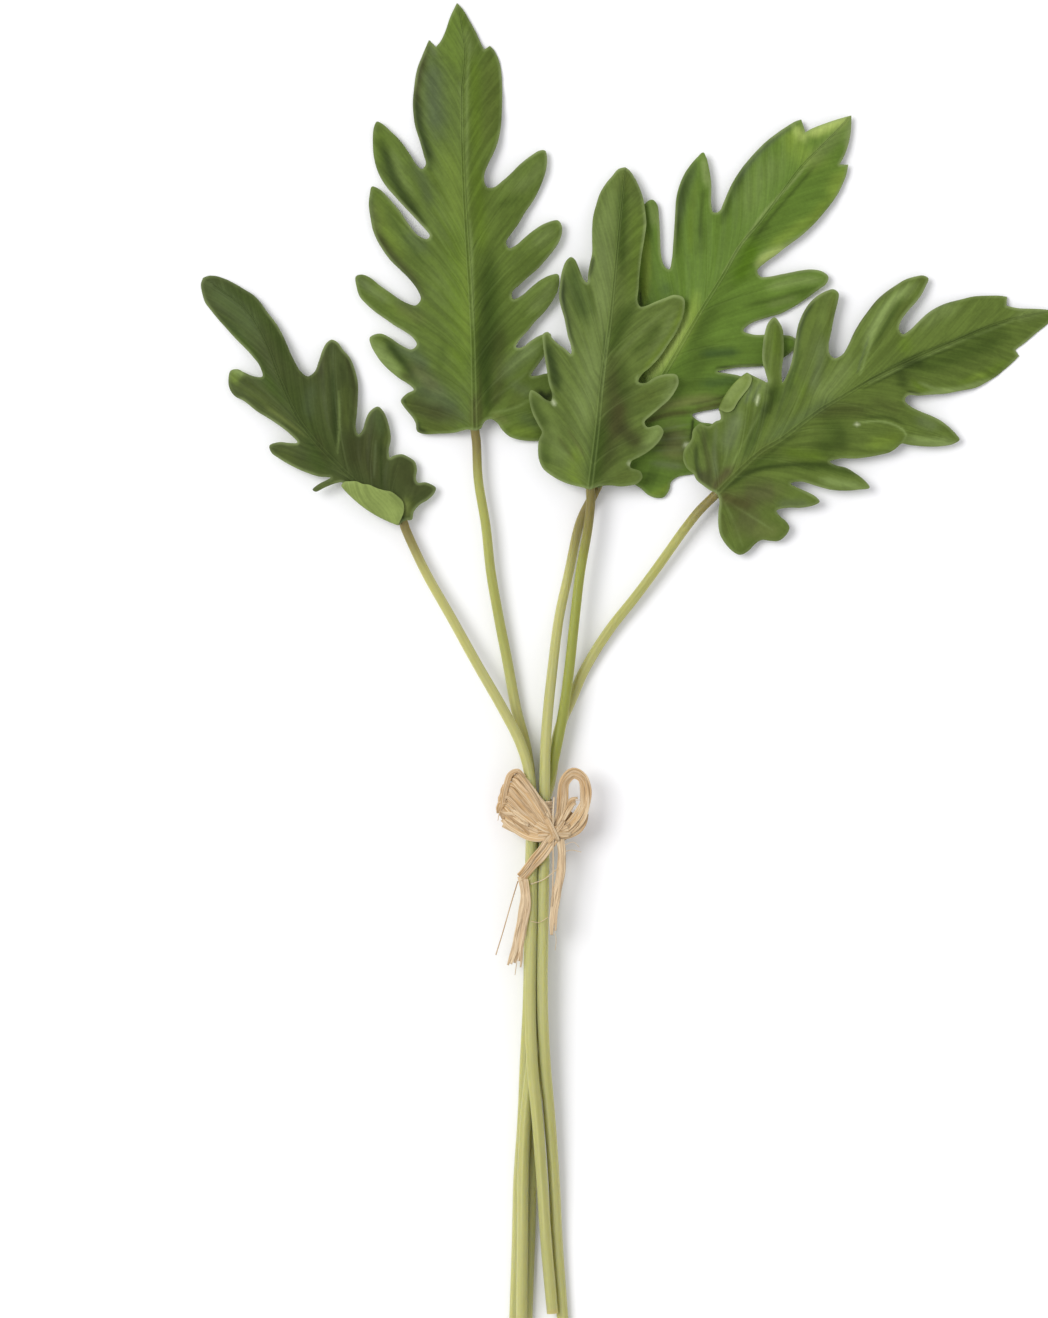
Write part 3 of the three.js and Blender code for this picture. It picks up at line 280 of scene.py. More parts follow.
LEAF_5 = {
    "left": [
        (1055, 311, 1), (1043, 309.5), (1030, 309), (1017, 308.5), (1006, 306, 1), (1007, 297, 1),
        (1000, 296), (985, 296), (972, 297), (960, 300), (948, 303), (938, 307), (928, 313), (918, 322),
        (910, 330), (902, 335), (898, 330), (900, 322), (907, 312), (915, 303), (921, 295), (925, 287),
        (928, 279), (923, 276), (915, 277), (905, 280), (895, 286), (885, 293), (876, 301), (868, 311),
        (860, 322), (853, 334), (848, 345), (842, 355), (834, 359), (829, 355), (828, 345), (830, 335),
        (832, 325), (834, 315), (837, 303), (838, 294), (833, 290), (825, 292), (815, 298), (808, 305),
        (802, 315), (798, 325), (795, 340), (792, 358), (788, 372), (782, 383), (781, 372), (783, 356),
        (783, 340), (782, 330), (778, 322), (774, 318), (768, 323), (764, 335), (762, 350), (762, 362),
        (765, 373), (767, 383), (762, 381), (756, 378), (748, 374),
    ],
    "flap": [
        (751, 378), (749, 387), (743, 395), (737, 403), (733, 410), (727, 413),
    ],
    "left_below": [
        (719, 412), (720, 420), (715, 422), (708, 427), (700, 424), (693, 430), (691, 440), (684, 450),
        (683, 460), (687, 469), (693, 474), (696, 480), (703, 486), (710, 491),
    ],
    "right": [
        (1053, 318), (1045, 326), (1035, 334), (1027, 341), (1015, 350, 1), (1019, 356, 1), (1012, 363),
        (1005, 369), (995, 377), (985, 383), (975, 388), (960, 391), (945, 394), (930, 395), (918, 396),
        (907, 396), (904, 401), (910, 407), (920, 412), (930, 416), (940, 421), (949, 428), (955, 434),
        (959, 440), (953, 444), (945, 446), (930, 447), (915, 446), (907, 445), (901, 444), (895, 449),
        (888, 453), (880, 455), (870, 457), (855, 459),
        (840, 459), (829, 462), (836, 466), (845, 468), (855, 474), (864, 481), (869, 488), (858, 490),
        (845, 491), (830, 490), (815, 486), (800, 482), (790, 484), (799, 489), (808, 493), (815, 497),
        (819, 502), (812, 506), (800, 508), (787, 508), (776, 511), (780, 517), (786, 522), (789, 528),
        (785, 536), (778, 541), (770, 541), (762, 540), (756, 543), (748, 551), (740, 555), (733, 552),
        (726, 545), (720, 535), (718, 525), (718, 512), (719, 502),
    ],
    "base": (716, 494),
    "midrib": [
        (718, 492, 9.5), (740, 470, 10.5), (760, 452, 11), (780, 440, 11.5), (800, 425, 11.5),
        (820, 410, 11.5), (840, 398, 11.5), (870, 380, 11), (905, 363, 10), (950, 343, 8),
        (1000, 322, 5), (1048, 311.5, 1.4),
    ],
    "veins": [
        (850, 392, 922, 283), (790, 432, 833, 297), (765, 449, 773, 324), (742, 468, 748, 384),
        (724, 486, 704, 430), (845, 395, 952, 439), (803, 423, 901, 436), (765, 449, 862, 486),
        (745, 466, 812, 501), (730, 480, 780, 530), (721, 489, 738, 549),
    ],
    "fall": (0.26, 0.32),
    "vein_fall": 0.15,
    "fold": {"start": (719, 412), "end": (748, 374), "bulge": 4, "radius": 0.6, "side": -1},
    "underside": 0.3,
    "rib_edge": 0.12,
    "lobe_vein": 0.09,
}

# Centre lines of the stalks, from blade to cut end: x, y and height.
STALK_LINES = {
    "leaf_1": [
        (405.5, 529, 5.3), (425.5, 572, 6.3), (451.5, 618, 8), (477, 664, 9.6), (503.5, 710, 11.2),
        (519, 740, 12), (527.5, 765, 12.3), (531, 790, 12.4), (531.5, 815, 12.4), (532, 900, 12.4),
        (530.2, 1000, 11.9), (532, 1060, 11.85), (537.5, 1120, 11), (542, 1180, 9.2), (546, 1240, 7.5),
        (552.5, 1312, 6),
    ],
    "leaf_2": [
        (476.5, 441, 5.9), (478.5, 480, 6.1), (486, 526, 6), (491, 572, 5.6), (499, 618, 5),
        (508, 664, 4.4), (516.5, 710, 3.8), (524.5, 740, 3.5), (529, 765, 3.4), (531, 790, 3.35),
        (531.5, 815, 3.35), (530, 900, 3.1), (528.5, 1000, 2.8), (525.5, 1060, 2.6), (523, 1120, 2.45),
        (519, 1180, 2.4), (517.5, 1240, 2.4), (514.5, 1330, 2.4),
    ],
    "leaf_3": [
        (590.5, 500, 9.8), (588, 526, 10.1), (580, 572, 10.4), (574.5, 618, 10.2), (569.5, 664, 9.6),
        (565, 700, 9), (561.5, 720, 8.7), (556.5, 745, 8.3), (551, 770, 8.05), (545, 790, 7.95),
        (538, 815, 8.2), (537.3, 900, 8.5), (536.2, 1000, 7.9), (531.5, 1060, 7), (525.5, 1120, 7.4),
        (523, 1180, 7.3), (522.5, 1240, 7.1), (521.5, 1326, 6.95),
    ],
    "leaf_4": [
        (591.5, 499, 2.1), (585, 511, 2.4), (579, 526, 3.2), (569, 572, 4.8), (559, 618, 6.6),
        (553, 664, 8.8), (548, 710, 11), (545.5, 745, 12.2), (544.5, 790, 12.6), (544.5, 815, 12.4),
        (543.2, 900, 12.2), (542.2, 1000, 11.1), (544.8, 1060, 9.6), (549.8, 1120, 7.4),
        (554, 1180, 5.4), (557, 1240, 3.6), (564, 1336, 2.4),
    ],
    "leaf_5": [
        (710, 500, 6.8), (699, 511, 6.7), (684, 530, 6.2), (655.5, 570, 5.2), (633, 600, 4.4),
        (613, 625, 3.7), (596, 650, 3.1), (582, 675, 2.7), (571.5, 700, 2.5), (562.5, 720, 2.45),
        (556.5, 740, 2.45), (553, 765, 2.7), (549.5, 785, 3), (545.2, 799, 3.3), (544.5, 815, 3.35),
        (543.5, 900, 3.1), (541.5, 1000, 2.7), (538.3, 1060, 2.5), (535, 1120, 2.4),
        (531.5, 1180, 2.4), (529.5, 1240, 2.4), (526.5, 1324, 2.4),
    ],
}

# Where a stalk changes its tone, in mm from its blade: brown up to the first and gone by the second,
# then how strong its olive is, up to where it is full, and where it is gone.
STALK_TONES = {
    "leaf_1": (3, 32, 0.2, 4, 20),
    "leaf_2": (3, 26, 0.6, 85, 125),
    "leaf_3": (8, 40, 1, 140, 200),
    "leaf_4": (10, 48, 0.3, 10, 50),
    "leaf_5": (2, 30, 0.3, 60, 100),
}

# Bundles of raffia: strands, width in mm, lean of the face in degrees, width left at each end, tone from
# 0 for brown to 1 for pale, centre line.
BUNDLES = [
    (1, 9, (0, 0), (0.8, 0.9), 0.35, [
        (553, 835, 14.2), (564, 826, 13.6), (573, 818, 12.6), (578, 812, 11.8),
    ]),
    (1, 10, (0, 0), (0.7, 1), 0.2, [(546, 824, 15.8), (531, 806, 15), (520, 791, 13.6), (513, 783, 12.4)]),
    (1, 12, (0, 0), (0.7, 1), 0.1, [(548, 831, 15.8), (532, 819, 15), (517, 808, 13), (508, 801, 11.4)]),
    (1, 9, (0, 0), (0.7, 1), 0.3, [(548, 834, 15.6), (532, 828, 14.8), (517, 820, 12.8), (507, 815, 11)]),
    (2, 3.2, (0, 0), (1, 0.9), 0.55, [
        (552, 828, 17.4), (546, 812, 17.4), (537, 798, 17), (528, 785, 16.2), (521, 776, 15),
        (516, 773, 13.4), (513, 776, 12),
    ]),
    (2, 4.4, (0, 0), (1, 0.9), 0.45, [
        (552, 829, 17.6), (543, 815, 17.4), (532, 799, 16.6), (522, 786, 15.4), (515, 779, 13.9),
        (510, 779, 12.2), (509, 784, 11),
    ]),
    (2, 5, (0, 0), (1, 1), 0.25, [
        (552, 830, 17.4), (540, 818, 16.8), (527, 805, 15.8), (517, 794, 14.4), (511, 788, 13),
        (507, 788, 11.6), (506, 794, 10.4),
    ]),
    (2, 5, (0, 0), (1, 1), 0.15, [
        (552, 831, 17.2), (539, 822, 16.6), (525, 811, 15.4), (514, 801, 13.8), (508, 796, 12.5),
        (504, 797, 11.2), (504, 804, 10),
    ]),
    (2, 5, (0, 0), (1, 1), 0.45, [
        (552, 832, 17), (538, 826, 16.4), (523, 818, 15), (512, 810, 13.4), (506, 805, 12.2),
        (502, 806, 11), (502, 812, 9.8),
    ]),
    (2, 4.4, (0, 0), (1, 0.9), 0.7, [
        (552, 833, 16.8), (538, 830, 16.2), (524, 824, 14.8), (512, 817, 13), (506, 813, 11.8),
        (502, 813, 10.6), (504, 819, 9.6),
    ]),
    (2, 3.6, (0, 0), (1, 0.8), 0.5, [
        (550, 835, 16.6), (538, 836, 16), (524, 832, 14.6), (512, 825, 12.8), (505, 819, 11.2),
        (502, 817, 10),
    ]),
    (2, 2.4, (30, 20), (0.7, 0.7), 0.1, [
        (525, 776, 15.6), (518, 770, 14.4), (510, 774, 13.2), (506, 785, 12.4), (504, 797, 11.8),
        (502, 808, 11.4), (502, 815, 11), (507, 822, 11.6),
    ]),
    (1, 1.5, (0, 0), (0.6, 0.6), 0.1, [
        (519, 774, 16.2), (530, 789, 17.2), (540, 804, 17.8), (547, 816, 18),
    ]),
    # Painted highlight: pale strands on the lower left of the loop where it catches the light.
    (2, 2, (0, 0), (0.6, 0.6), 1, [(503, 813, 12.6), (512, 814, 14), (522, 820, 15.8), (532, 826, 16.9)]),
    (4, 4.4, (20, 20), (1, 1), 0.6, [
        (554, 830, 17), (560, 814, 16.4), (562, 797, 15.6), (565, 781, 15), (573, 773, 14.8),
        (582, 777, 14.8),
        (586, 789, 15), (585, 803, 15.4), (579, 818, 16), (568, 829, 16.8), (556, 833, 17.2),
    ]),
    (3, 4, (10, 0), (1, 0.6), 0.45, [
        (554, 831, 16.8), (560, 820, 16.4), (566, 808, 15.8), (573, 801, 15.2), (580, 800, 15),
    ]),
    (3, 4.2, (0, 0), (1, 0.6), 0.6, [
        (555, 832, 16.6), (566, 826, 16.2), (576, 816, 15.6), (583, 804, 15.2), (586, 795, 15),
    ]),
    (3, 3.6, (0, 10), (1, 0.6), 0.5, [
        (555, 834, 16.4), (566, 834, 16), (577, 829, 15.5), (584, 819, 15.2), (586, 809, 15),
    ]),
    (4, 5, (0, -10), (0.7, 0.8), 0.45, [
        (554, 836, 17.4), (545, 848, 16.6), (534, 861, 16), (524, 873, 15.6), (518, 880, 15.4),
    ]),
    (3, 4, (0, 0), (0.8, 0.5), 0.95, [
        (521, 875, 15.4), (524, 887, 15.2), (525, 901, 15.1), (522, 918, 14.5), (518, 936, 12.9),
        (514, 953, 10.7), (510, 967, 8.7),
    ]),
    (2, 2.4, (0, 0), (0.8, 0.5), 0.9, [
        (526, 878, 15.6), (528, 895, 15.5), (527, 912, 15.3), (524, 932, 14.2), (521, 952, 12.2),
        (519, 970, 10),
    ]),
    (3, 3.8, (0, 8), (0.7, 0.5), 0.95, [
        (561, 838, 17), (562, 852, 16.4), (560, 872, 15.9), (557, 892, 15.7), (554, 912, 15.6),
        (552, 938, 15.4),
    ]),
]

# Bundles of the knot, laid over the others.
KNOT_BUNDLES = [
    (3, 3.2, (0, 0), (0.8, 0.8), 0.5, [
        (536, 823, 17.2), (546, 828, 18.4), (560, 829, 18.2), (572, 824, 17),
    ]),
    (3, 3, (0, 0), (0.8, 0.8), 0.6, [(538, 832, 17), (549, 832, 18.2), (561, 833, 17.8), (573, 833, 16.6)]),
    (2, 2.8, (10, 10), (0.8, 0.8), 0.4, [
        (546, 818, 17.6), (551, 825, 18.8), (555, 834, 18.6), (558, 842, 17),
    ]),
    (2, 2.2, (0, 0), (0.8, 0.8), 0.5, [
        (564, 820, 17), (558, 828, 18.6), (551, 836, 18.2), (546, 843, 16.8),
    ]),
]

# Loose single fibres: radius in mm, tone, centre line.
FIBRES = [
    (0.26, 0.05, [(518, 880, 15.4), (511, 903, 14.6), (503, 931, 12.6), (496, 954, 10)]),
    (0.34, 1, [
        (554, 796, 17.2), (553, 812, 18), (553, 828, 19), (553, 846, 17.2), (553, 870, 16), (552, 905, 15.8),
    ]),
    (0.16, 1, [(561, 852, 16.6), (571, 849, 16.6), (581, 851, 16.4)]),
    (0.13, 1, [(563, 845, 16.8), (573, 841, 16.8), (579, 846, 16.6)]),
    (0.2, 0.9, [(531, 883, 15.6), (544, 878, 15.9), (558, 867, 16.2)]),
    (0.17, 0.9, [(531, 920, 15.4), (539, 921, 15.3), (548, 916, 15.5)]),
    (0.16, 0.5, [(524, 940, 13.6), (518, 956, 11.4), (515, 974, 8.8)]),
    (0.12, 0.9, [(553, 925, 15.6), (556, 938, 15.4), (555, 949, 15.2)]),
    (0.16, 0.3, [(507, 800, 13.4), (500, 811, 12.2), (498, 820, 11.6)]),
]

# The band round the stalks, and how often and from where its strips go round.
WRAP = {
    "x": 538, "from": 801, "to": 831, "half_width": 5.45, "bottom": 0.75, "top": 15.05,
    "corner": 2.6, "turns": 1.04, "start": 0.6,
}

# The drawing point in the middle of the picture.
PICTURE_CENTRE = (524, 659)

# Painted strokes on the upper faces, laid on one over the other: tone, half width,
# strength in percent, then the points of the centre line.
# Many strokes are painted light and shade, not the leaves' own colour: darker bands on the shaded flanks of
# midribs and lobes, lighter bands on the lit flanks, painted shadows where one leaf lies over another, and
# painted light where a neighbour's shadow falls.
STROKES = {}
STROKES["leaf_1"] = [
    ("sage", 13, 50, (212, 286), (236, 306), (258, 334)),
    ("deep", 6, 45, (230, 288), (256, 306), (278, 338), (292, 368)),
    # Painted shade: the dark band inside the pale rim along the lower left edge of the tip lobe.
    ("deep", 7, 85, (224, 322), (246, 348), (264, 376), (282, 400)),
    ("pale", 1.8, 60, (208, 309), (226, 330), (246, 351), (261, 370)),
    ("lime", 5, 50, (233, 372), (237, 383)),
    ("olive", 9, 30, (240, 386), (262, 398), (280, 412)),
    ("deep", 14, 40, (285, 380), (306, 420), (330, 462)),
    ("tan", 2.6, 45, (266, 408), (285, 420), (306, 438)),
    ("dark", 1.6, 50, (284, 424), (306, 440), (332, 466)),
    ("olive", 7, 40, (278, 449), (295, 458)),
    ("deep", 10, 60, (312, 452), (326, 470)),
    ("pale", 1.6, 40, (272, 453), (290, 465), (318, 476)),
    # Painted sheen: this slate stroke stands for the grey-green gloss of the right lobe.
    ("slate", 6, 40, (313, 386), (309, 400), (310, 418)),
    ("dark", 3, 70, (333, 372), (335, 410), (336, 444)),
    ("light", 1.3, 45, (339, 392), (340, 420), (338, 454)),
    ("umber", 3, 50, (345, 352), (354, 382), (356, 418)),
    ("umber", 9, 50, (352, 436), (356, 466)),
    ("umber", 9, 60, (370, 428), (366, 450), (374, 480)),
    ("umber", 16, 45, (398, 462), (412, 482), (424, 490)),
    ("grey", 1.2, 35, (376, 442), (374, 478)),
    ("dark", 1.2, 60, (381, 440), (381, 468), (382, 492)),
    ("olive", 6, 40, (386, 420), (388, 448)),
    ("olive", 7, 60, (408, 500), (407, 514)),
    ("olive", 4, 50, (316, 490), (340, 482)),
    ("olive", 4, 35, (415, 464), (417, 478)),
    ("light", 4, 80, (234, 371), (244, 375)),
    ("umber", 6, 60, (322, 354), (319, 378)),
    ("olive", 5, 40, (346, 384), (346, 430)),
    ("sage", 5, 50, (378, 412), (382, 434)),
    ("umber", 5, 40, (318, 436), (328, 464)),
    ("tan", 5, 80, (405, 502), (407, 516)),
]
STROKES["leaf_2"] = [
    ("fresh", 11, 60, (456, 12), (452, 44), (458, 72)),
    ("pale", 5, 50, (466, 30), (472, 60)),
    # Painted sheen: this slate band stands for the greyish gloss on the left half of the apex lobe.
    ("slate", 12, 75, (432, 62), (434, 100), (438, 134)),
    ("umber", 5, 90, (427, 48), (418, 76), (416, 102), (419, 130)),
    ("grey", 4, 50, (431, 44), (434, 56)),
    ("olive", 12, 55, (490, 60), (492, 100), (484, 146)),
    ("fresh", 6, 70, (474, 56), (476, 110), (476, 160)),
    ("dark", 1.1, 20, (463, 58), (462, 92), (463, 126)),
    ("light", 1.8, 50, (470, 46), (467, 84), (467, 130), (467, 180), (469, 222)),
    ("bright", 12, 50, (450, 150), (455, 190), (460, 232)),
    ("fresh", 7, 80, (476, 164), (479, 206), (482, 252)),
    ("fresh", 6, 40, (379, 134), (384, 164)),
    # Painted shade along the lower margins of the upper left lobes.
    ("dark", 6, 85, (382, 142), (391, 172), (404, 197), (424, 223)),
    ("black", 3, 50, (398, 200), (410, 213), (424, 226)),
    ("pale", 4, 35, (392, 150), (402, 176), (414, 196)),
    ("slate", 6, 45, (414, 162), (424, 184), (430, 206)),
    ("slate", 2, 50, (371, 196), (372, 226)),
    ("bright", 6, 60, (377, 200), (386, 232), (402, 256)),
    ("deep", 2, 50, (390, 214), (406, 240), (424, 264)),
    ("slate", 8, 45, (408, 232), (426, 252)),
    # Painted shade: the shadowed lower edge of lobe L2.
    ("umber", 6, 85, (372, 228), (392, 258), (411, 279), (421, 296)),
    ("grey", 5, 70, (360, 280), (374, 291), (390, 302)),
    ("bright", 7, 35, (368, 284), (392, 302), (416, 320)),
    ("slate", 5, 40, (394, 300), (416, 310)),
    ("light", 7, 75, (374, 344), (386, 361), (400, 377)),
    # Painted shade: the upper part of lobe L4, in shade beside its pale turned-up margin.
    ("slate", 9, 75, (394, 344), (414, 356), (428, 372)),
    ("dark", 4.5, 90, (386, 341), (398, 356), (408, 368), (416, 381)),
    ("umber", 4, 50, (402, 375), (411, 380)),
    ("slate", 15, 70, (418, 382), (440, 402), (458, 414)),
    ("grey", 5, 50, (418, 374), (446, 396)),
    ("olive", 6, 60, (404, 399), (410, 410)),
    ("umber", 12, 65, (410, 400), (424, 411), (446, 415)),
    ("olive", 6, 70, (422, 428), (452, 429)),
    # Painted shade: the dark corner of the notch at the base of the left side.
    ("black", 2.6, 90, (417, 422), (419, 430), (427, 433)),
    # Painted light and shade along the midrib: the lit left flank lighter, the shaded right flank darker.
    ("fresh", 13, 75, (456, 226), (460, 282), (463, 340), (461, 378)),
    ("bright", 5, 45, (464, 250), (466, 300), (466, 350)),
    ("deep", 12, 90, (488, 258), (491, 324), (486, 376)),
    ("dark", 5, 50, (480, 330), (481, 372)),
    ("light", 1.8, 55, (470, 222), (472, 270), (473, 330)),
    ("pale", 8, 55, (514, 190), (532, 178), (544, 160)),
    ("deep", 5, 35, (498, 206), (520, 200)),
    ("pale", 8, 55, (556, 230), (534, 246)),
    ("pale", 7, 65, (554, 282), (542, 300), (530, 312)),
    ("grey", 8, 50, (538, 346), (518, 360), (500, 378)),
    ("light", 1.4, 35, (482, 396), (512, 366), (542, 344)),
    ("light", 1.4, 35, (484, 406), (516, 382), (528, 372)),
    ("olive", 7, 50, (520, 392), (510, 408)),
    ("light", 1.6, 35, (490, 414), (516, 408), (530, 400)),
    ("bright", 6, 60, (508, 430), (536, 434)),
    ("brown", 5, 60, (476, 396), (475, 428)),
    ("umber", 2, 60, (480, 372), (481, 420)),
    # More painted shade on the right flank of the midrib.
    ("deep", 6, 90, (484, 350), (487, 388), (488, 416)),
    ("dark", 6, 90, (414, 98), (419, 128), (427, 152), (431, 168)),
    ("deep", 6, 35, (444, 344), (440, 368)),
    ("mauve", 8, 50, (412, 366), (438, 390)),
    ("umber", 7, 50, (500, 380), (494, 406)),
    ("tan", 4, 60, (492, 415), (508, 423)),
    ("sage", 6, 50, (520, 416), (540, 424)),
    ("grey", 6, 40, (512, 384), (530, 394)),
    ("light", 1.6, 35, (460, 84), (462, 112), (463, 146)),
    ("mauve", 6, 35, (372, 204), (378, 232)),
    ("mauve", 7, 40, (398, 306), (424, 322)),
    ("umber", 8, 40, (426, 412), (462, 420)),
    ("dark", 3, 85, (380, 248), (397, 268), (412, 283), (421, 297)),
    ("dark", 2, 70, (403, 396), (406, 408), (415, 422)),
    # More painted shade on the right flank of the midrib.
    ("dark", 7, 45, (484, 290), (487, 350), (485, 404)),
    ("umber", 8, 40, (500, 330), (498, 380)),
    # Painted shadow cast by leaf 3 on the base of the right side.
    ("black", 4, 85, (538, 391), (546, 398), (552, 393)),
]
STROKES["leaf_3"] = [
    # Painted light and shade along the midrib: the lit left flank paler, the shaded right flank darker.
    ("pale", 12, 60, (608, 200), (600, 236), (602, 284), (600, 330)),
    ("olive", 7, 60, (625, 173), (622, 196)),
    ("deep", 6, 80, (623, 184), (622, 228), (621, 272)),
    ("deep", 9, 75, (632, 306), (618, 330), (610, 356)),
    ("fresh", 8, 45, (635, 208), (636, 250), (630, 294)),
    ("light", 1.8, 80, (641, 194), (645, 224), (642, 254), (639, 284), (637, 304)),
    ("deep", 9, 80, (572, 266), (577, 292), (586, 322)),
    ("dark", 4, 85, (562, 276), (562, 302), (567, 328), (572, 346)),
    ("deep", 3.5, 40, (587, 290), (594, 316)),
    # Painted shade: a dark line at the left margin for the shaded lobe tip of leaf 4 that shows there.
    ("black", 2, 85, (593, 258), (591, 270), (588, 281)),
    ("pale", 13, 60, (592, 344), (589, 386), (582, 424)),
    ("light", 1.1, 50, (608, 330), (605, 362), (601, 398)),
    ("dark", 1.1, 50, (605, 334), (602, 366), (599, 396)),
    ("umber", 13, 75, (614, 362), (615, 402), (608, 440), (600, 474)),
    ("deep", 9, 85, (601, 424), (597, 452), (592, 486)),
    ("brown", 7, 55, (620, 404), (616, 436)),
    ("pale", 2.6, 50, (614, 358), (640, 334), (668, 308)),
    ("deep", 4, 45, (632, 352), (646, 342), (660, 326)),
    ("pale", 5, 60, (648, 360), (664, 336), (674, 312)),
    ("bright", 4, 80, (683, 306), (673, 334), (656, 356), (642, 376)),
    ("light", 1.6, 60, (680, 322), (668, 346), (652, 364)),
    ("light", 1.8, 85, (640, 307), (656, 303), (674, 297), (683, 301)),
    ("light", 1.5, 70, (637, 376), (636, 383), (642, 386)),
    ("olive", 7, 50, (636, 402), (656, 392)),
    ("pale", 5, 75, (672, 380), (671, 392), (663, 402)),
    ("light", 1.8, 85, (678, 381), (673, 395), (660, 408), (644, 423)),
    ("light", 6, 60, (659, 429), (650, 442), (640, 451)),
    ("light", 1.8, 85, (662, 437), (650, 450), (636, 458), (629, 464)),
    ("spot", 2.2, 60, (629, 462), (629, 466)),
    ("olive", 6, 50, (632, 474), (616, 479)),
    ("bright", 8, 70, (576, 452), (573, 472), (580, 484)),
    ("brown", 1.8, 30, (558, 436), (574, 462)),
    ("brown", 1.8, 30, (568, 430), (584, 456)),
    ("deep", 5, 50, (545, 444), (546, 466)),
    ("deep", 4, 50, (547, 350), (555, 374), (560, 388)),
    # Painted shadow in the gap where this leaf lies over leaf 2.
    ("black", 2.6, 90, (541, 391), (549, 399), (552, 395)),
    ("spot", 1.8, 90, (552, 401), (555, 406)),
    ("deep", 8, 50, (622, 364), (624, 398)),
    ("umber", 9, 85, (616, 424), (630, 438), (640, 446)),
    ("pale", 8, 35, (550, 424), (556, 446), (568, 462)),
    ("dark", 6, 60, (531, 397), (537, 413), (546, 427)),
    ("dark", 6, 85, (546, 341), (550, 358), (554, 375), (558, 390)),
    ("black", 3, 50, (563, 282), (563, 304), (569, 332)),
]
STROKES["leaf_4"] = [
    ("lime", 8, 70, (800, 130), (790, 142)),
    ("lime", 5, 80, (812, 136), (838, 124)),
    ("pale", 15, 35, (782, 160), (756, 182), (745, 214)),
    ("slate", 3.4, 75, (796, 124), (770, 142), (748, 165), (733, 188)),
    ("dark", 5, 60, (744, 172), (731, 196), (722, 222)),
    ("light", 1.3, 75, (846, 122), (815, 155), (790, 185), (765, 212), (744, 241), (722, 274)),
    ("dark", 1.9, 50, (826, 152), (798, 186), (772, 216), (753, 241), (738, 262)),
    ("deep", 8, 45, (766, 222), (754, 244)),
    ("vivid", 9, 85, (754, 244), (746, 262), (736, 282)),
    ("lime", 4, 75, (844, 170), (840, 186), (831, 200)),
    ("bright", 6, 70, (826, 202), (815, 218), (807, 229)),
    ("light", 5, 100, (757, 265), (768, 255), (784, 248), (800, 240)),
    ("slate", 5, 50, (694, 166), (683, 196), (680, 220)),
    ("deep", 5, 80, (694, 164), (684, 192), (678, 222), (677, 252)),
    ("fresh", 4, 60, (697, 182), (692, 212), (690, 252)),
    ("deep", 2.4, 60, (704, 186), (701, 214), (700, 240)),
    ("pale", 5, 70, (652, 204), (655, 226)),
    # Painted light against the shadow that leaf 3 casts on this lobe, then a painted shadow right under leaf
    # 3's margin.
    ("bright", 4, 80, (644, 236), (645, 270), (643, 300)),
    ("black", 1.8, 80, (640, 290), (641, 307)),
    ("blue", 6, 40, (664, 284), (668, 294)),
    # Painted light where leaf 3's right lobe shades this leaf.
    ("lime", 7, 85, (696, 296), (690, 322), (674, 348), (654, 374)),
    ("deep", 9, 50, (716, 306), (700, 330), (692, 350)),
    ("deep", 11, 50, (708, 344), (696, 370), (688, 394)),
    ("light", 5, 55, (768, 288), (798, 281), (822, 280)),
    ("deep", 2.4, 60, (744, 306), (780, 298), (816, 288)),
    ("dark", 1.4, 60, (766, 278), (790, 274), (812, 271)),
    ("pale", 4, 50, (768, 306), (796, 298)),
    ("dark", 1.4, 70, (744, 328), (762, 320), (776, 316)),
    ("blue", 5, 70, (702, 354), (738, 352)),
    ("black", 1.4, 80, (716, 368), (742, 366), (764, 365)),
    ("blue", 6, 60, (702, 384), (738, 380)),
    # Painted shade on the lower lobes, which lie in shade under leaves 3 and 5.
    ("tan", 6, 100, (636, 414), (670, 405), (700, 400), (720, 399)),
    ("brown", 3, 70, (644, 423), (666, 415), (692, 412)),
    ("mauve", 18, 90, (672, 430), (676, 458)),
    ("grey", 1.2, 35, (652, 432), (690, 424)),
    ("grey", 1.2, 35, (652, 441), (690, 437)),
    ("grey", 1.2, 35, (652, 451), (690, 450)),
    ("umber", 1.2, 40, (652, 436), (690, 430)),
    ("umber", 1.2, 40, (652, 446), (690, 444)),
    ("black", 1.6, 80, (693, 418), (691, 440)),
    ("spot", 2.4, 85, (684, 446), (689, 444)),
    ("grey", 4, 60, (652, 463), (682, 467)),
    ("dark", 11, 55, (646, 474), (658, 478)),
    ("bright", 4, 80, (650, 495), (662, 492), (668, 485)),
    ("lime", 11, 50, (786, 140), (806, 158), (824, 162)),
    ("pale", 7, 60, (808, 166), (826, 148), (843, 129)),
    ("lime", 8, 60, (840, 174), (830, 196)),
    ("lime", 6, 60, (808, 220), (790, 234), (770, 247)),
    ("tan", 6, 55, (668, 452), (692, 458)),
    # Painted light where leaf 3's right lobe shades this leaf.
    ("glow", 6, 50, (686, 316), (676, 340), (662, 362), (648, 377), (641, 381)),
    # More painted light against leaf 3's shadow on the left lobe.
    ("lime", 3.5, 75, (647, 236), (648, 268), (645, 303)),
    ("glow", 6, 95, (808, 135), (826, 127), (848, 118)),
    ("glow", 5, 70, (795, 128), (804, 141)),
    ("light", 4, 70, (849, 124), (846, 148)),
    ("light", 4, 80, (703, 159), (707, 186)),
    ("deep", 5, 40, (702, 222), (699, 256)),
    # More painted shade on the lobes under leaf 5.
    ("brown", 3, 70, (694, 411), (708, 408), (724, 403)),
    ("umber", 1.6, 50, (690, 405), (720, 398), (738, 390)),
    ("dark", 3, 60, (685, 178), (679, 205), (676, 238)),
    ("glow", 5, 90, (758, 264), (772, 256), (788, 249)),
]
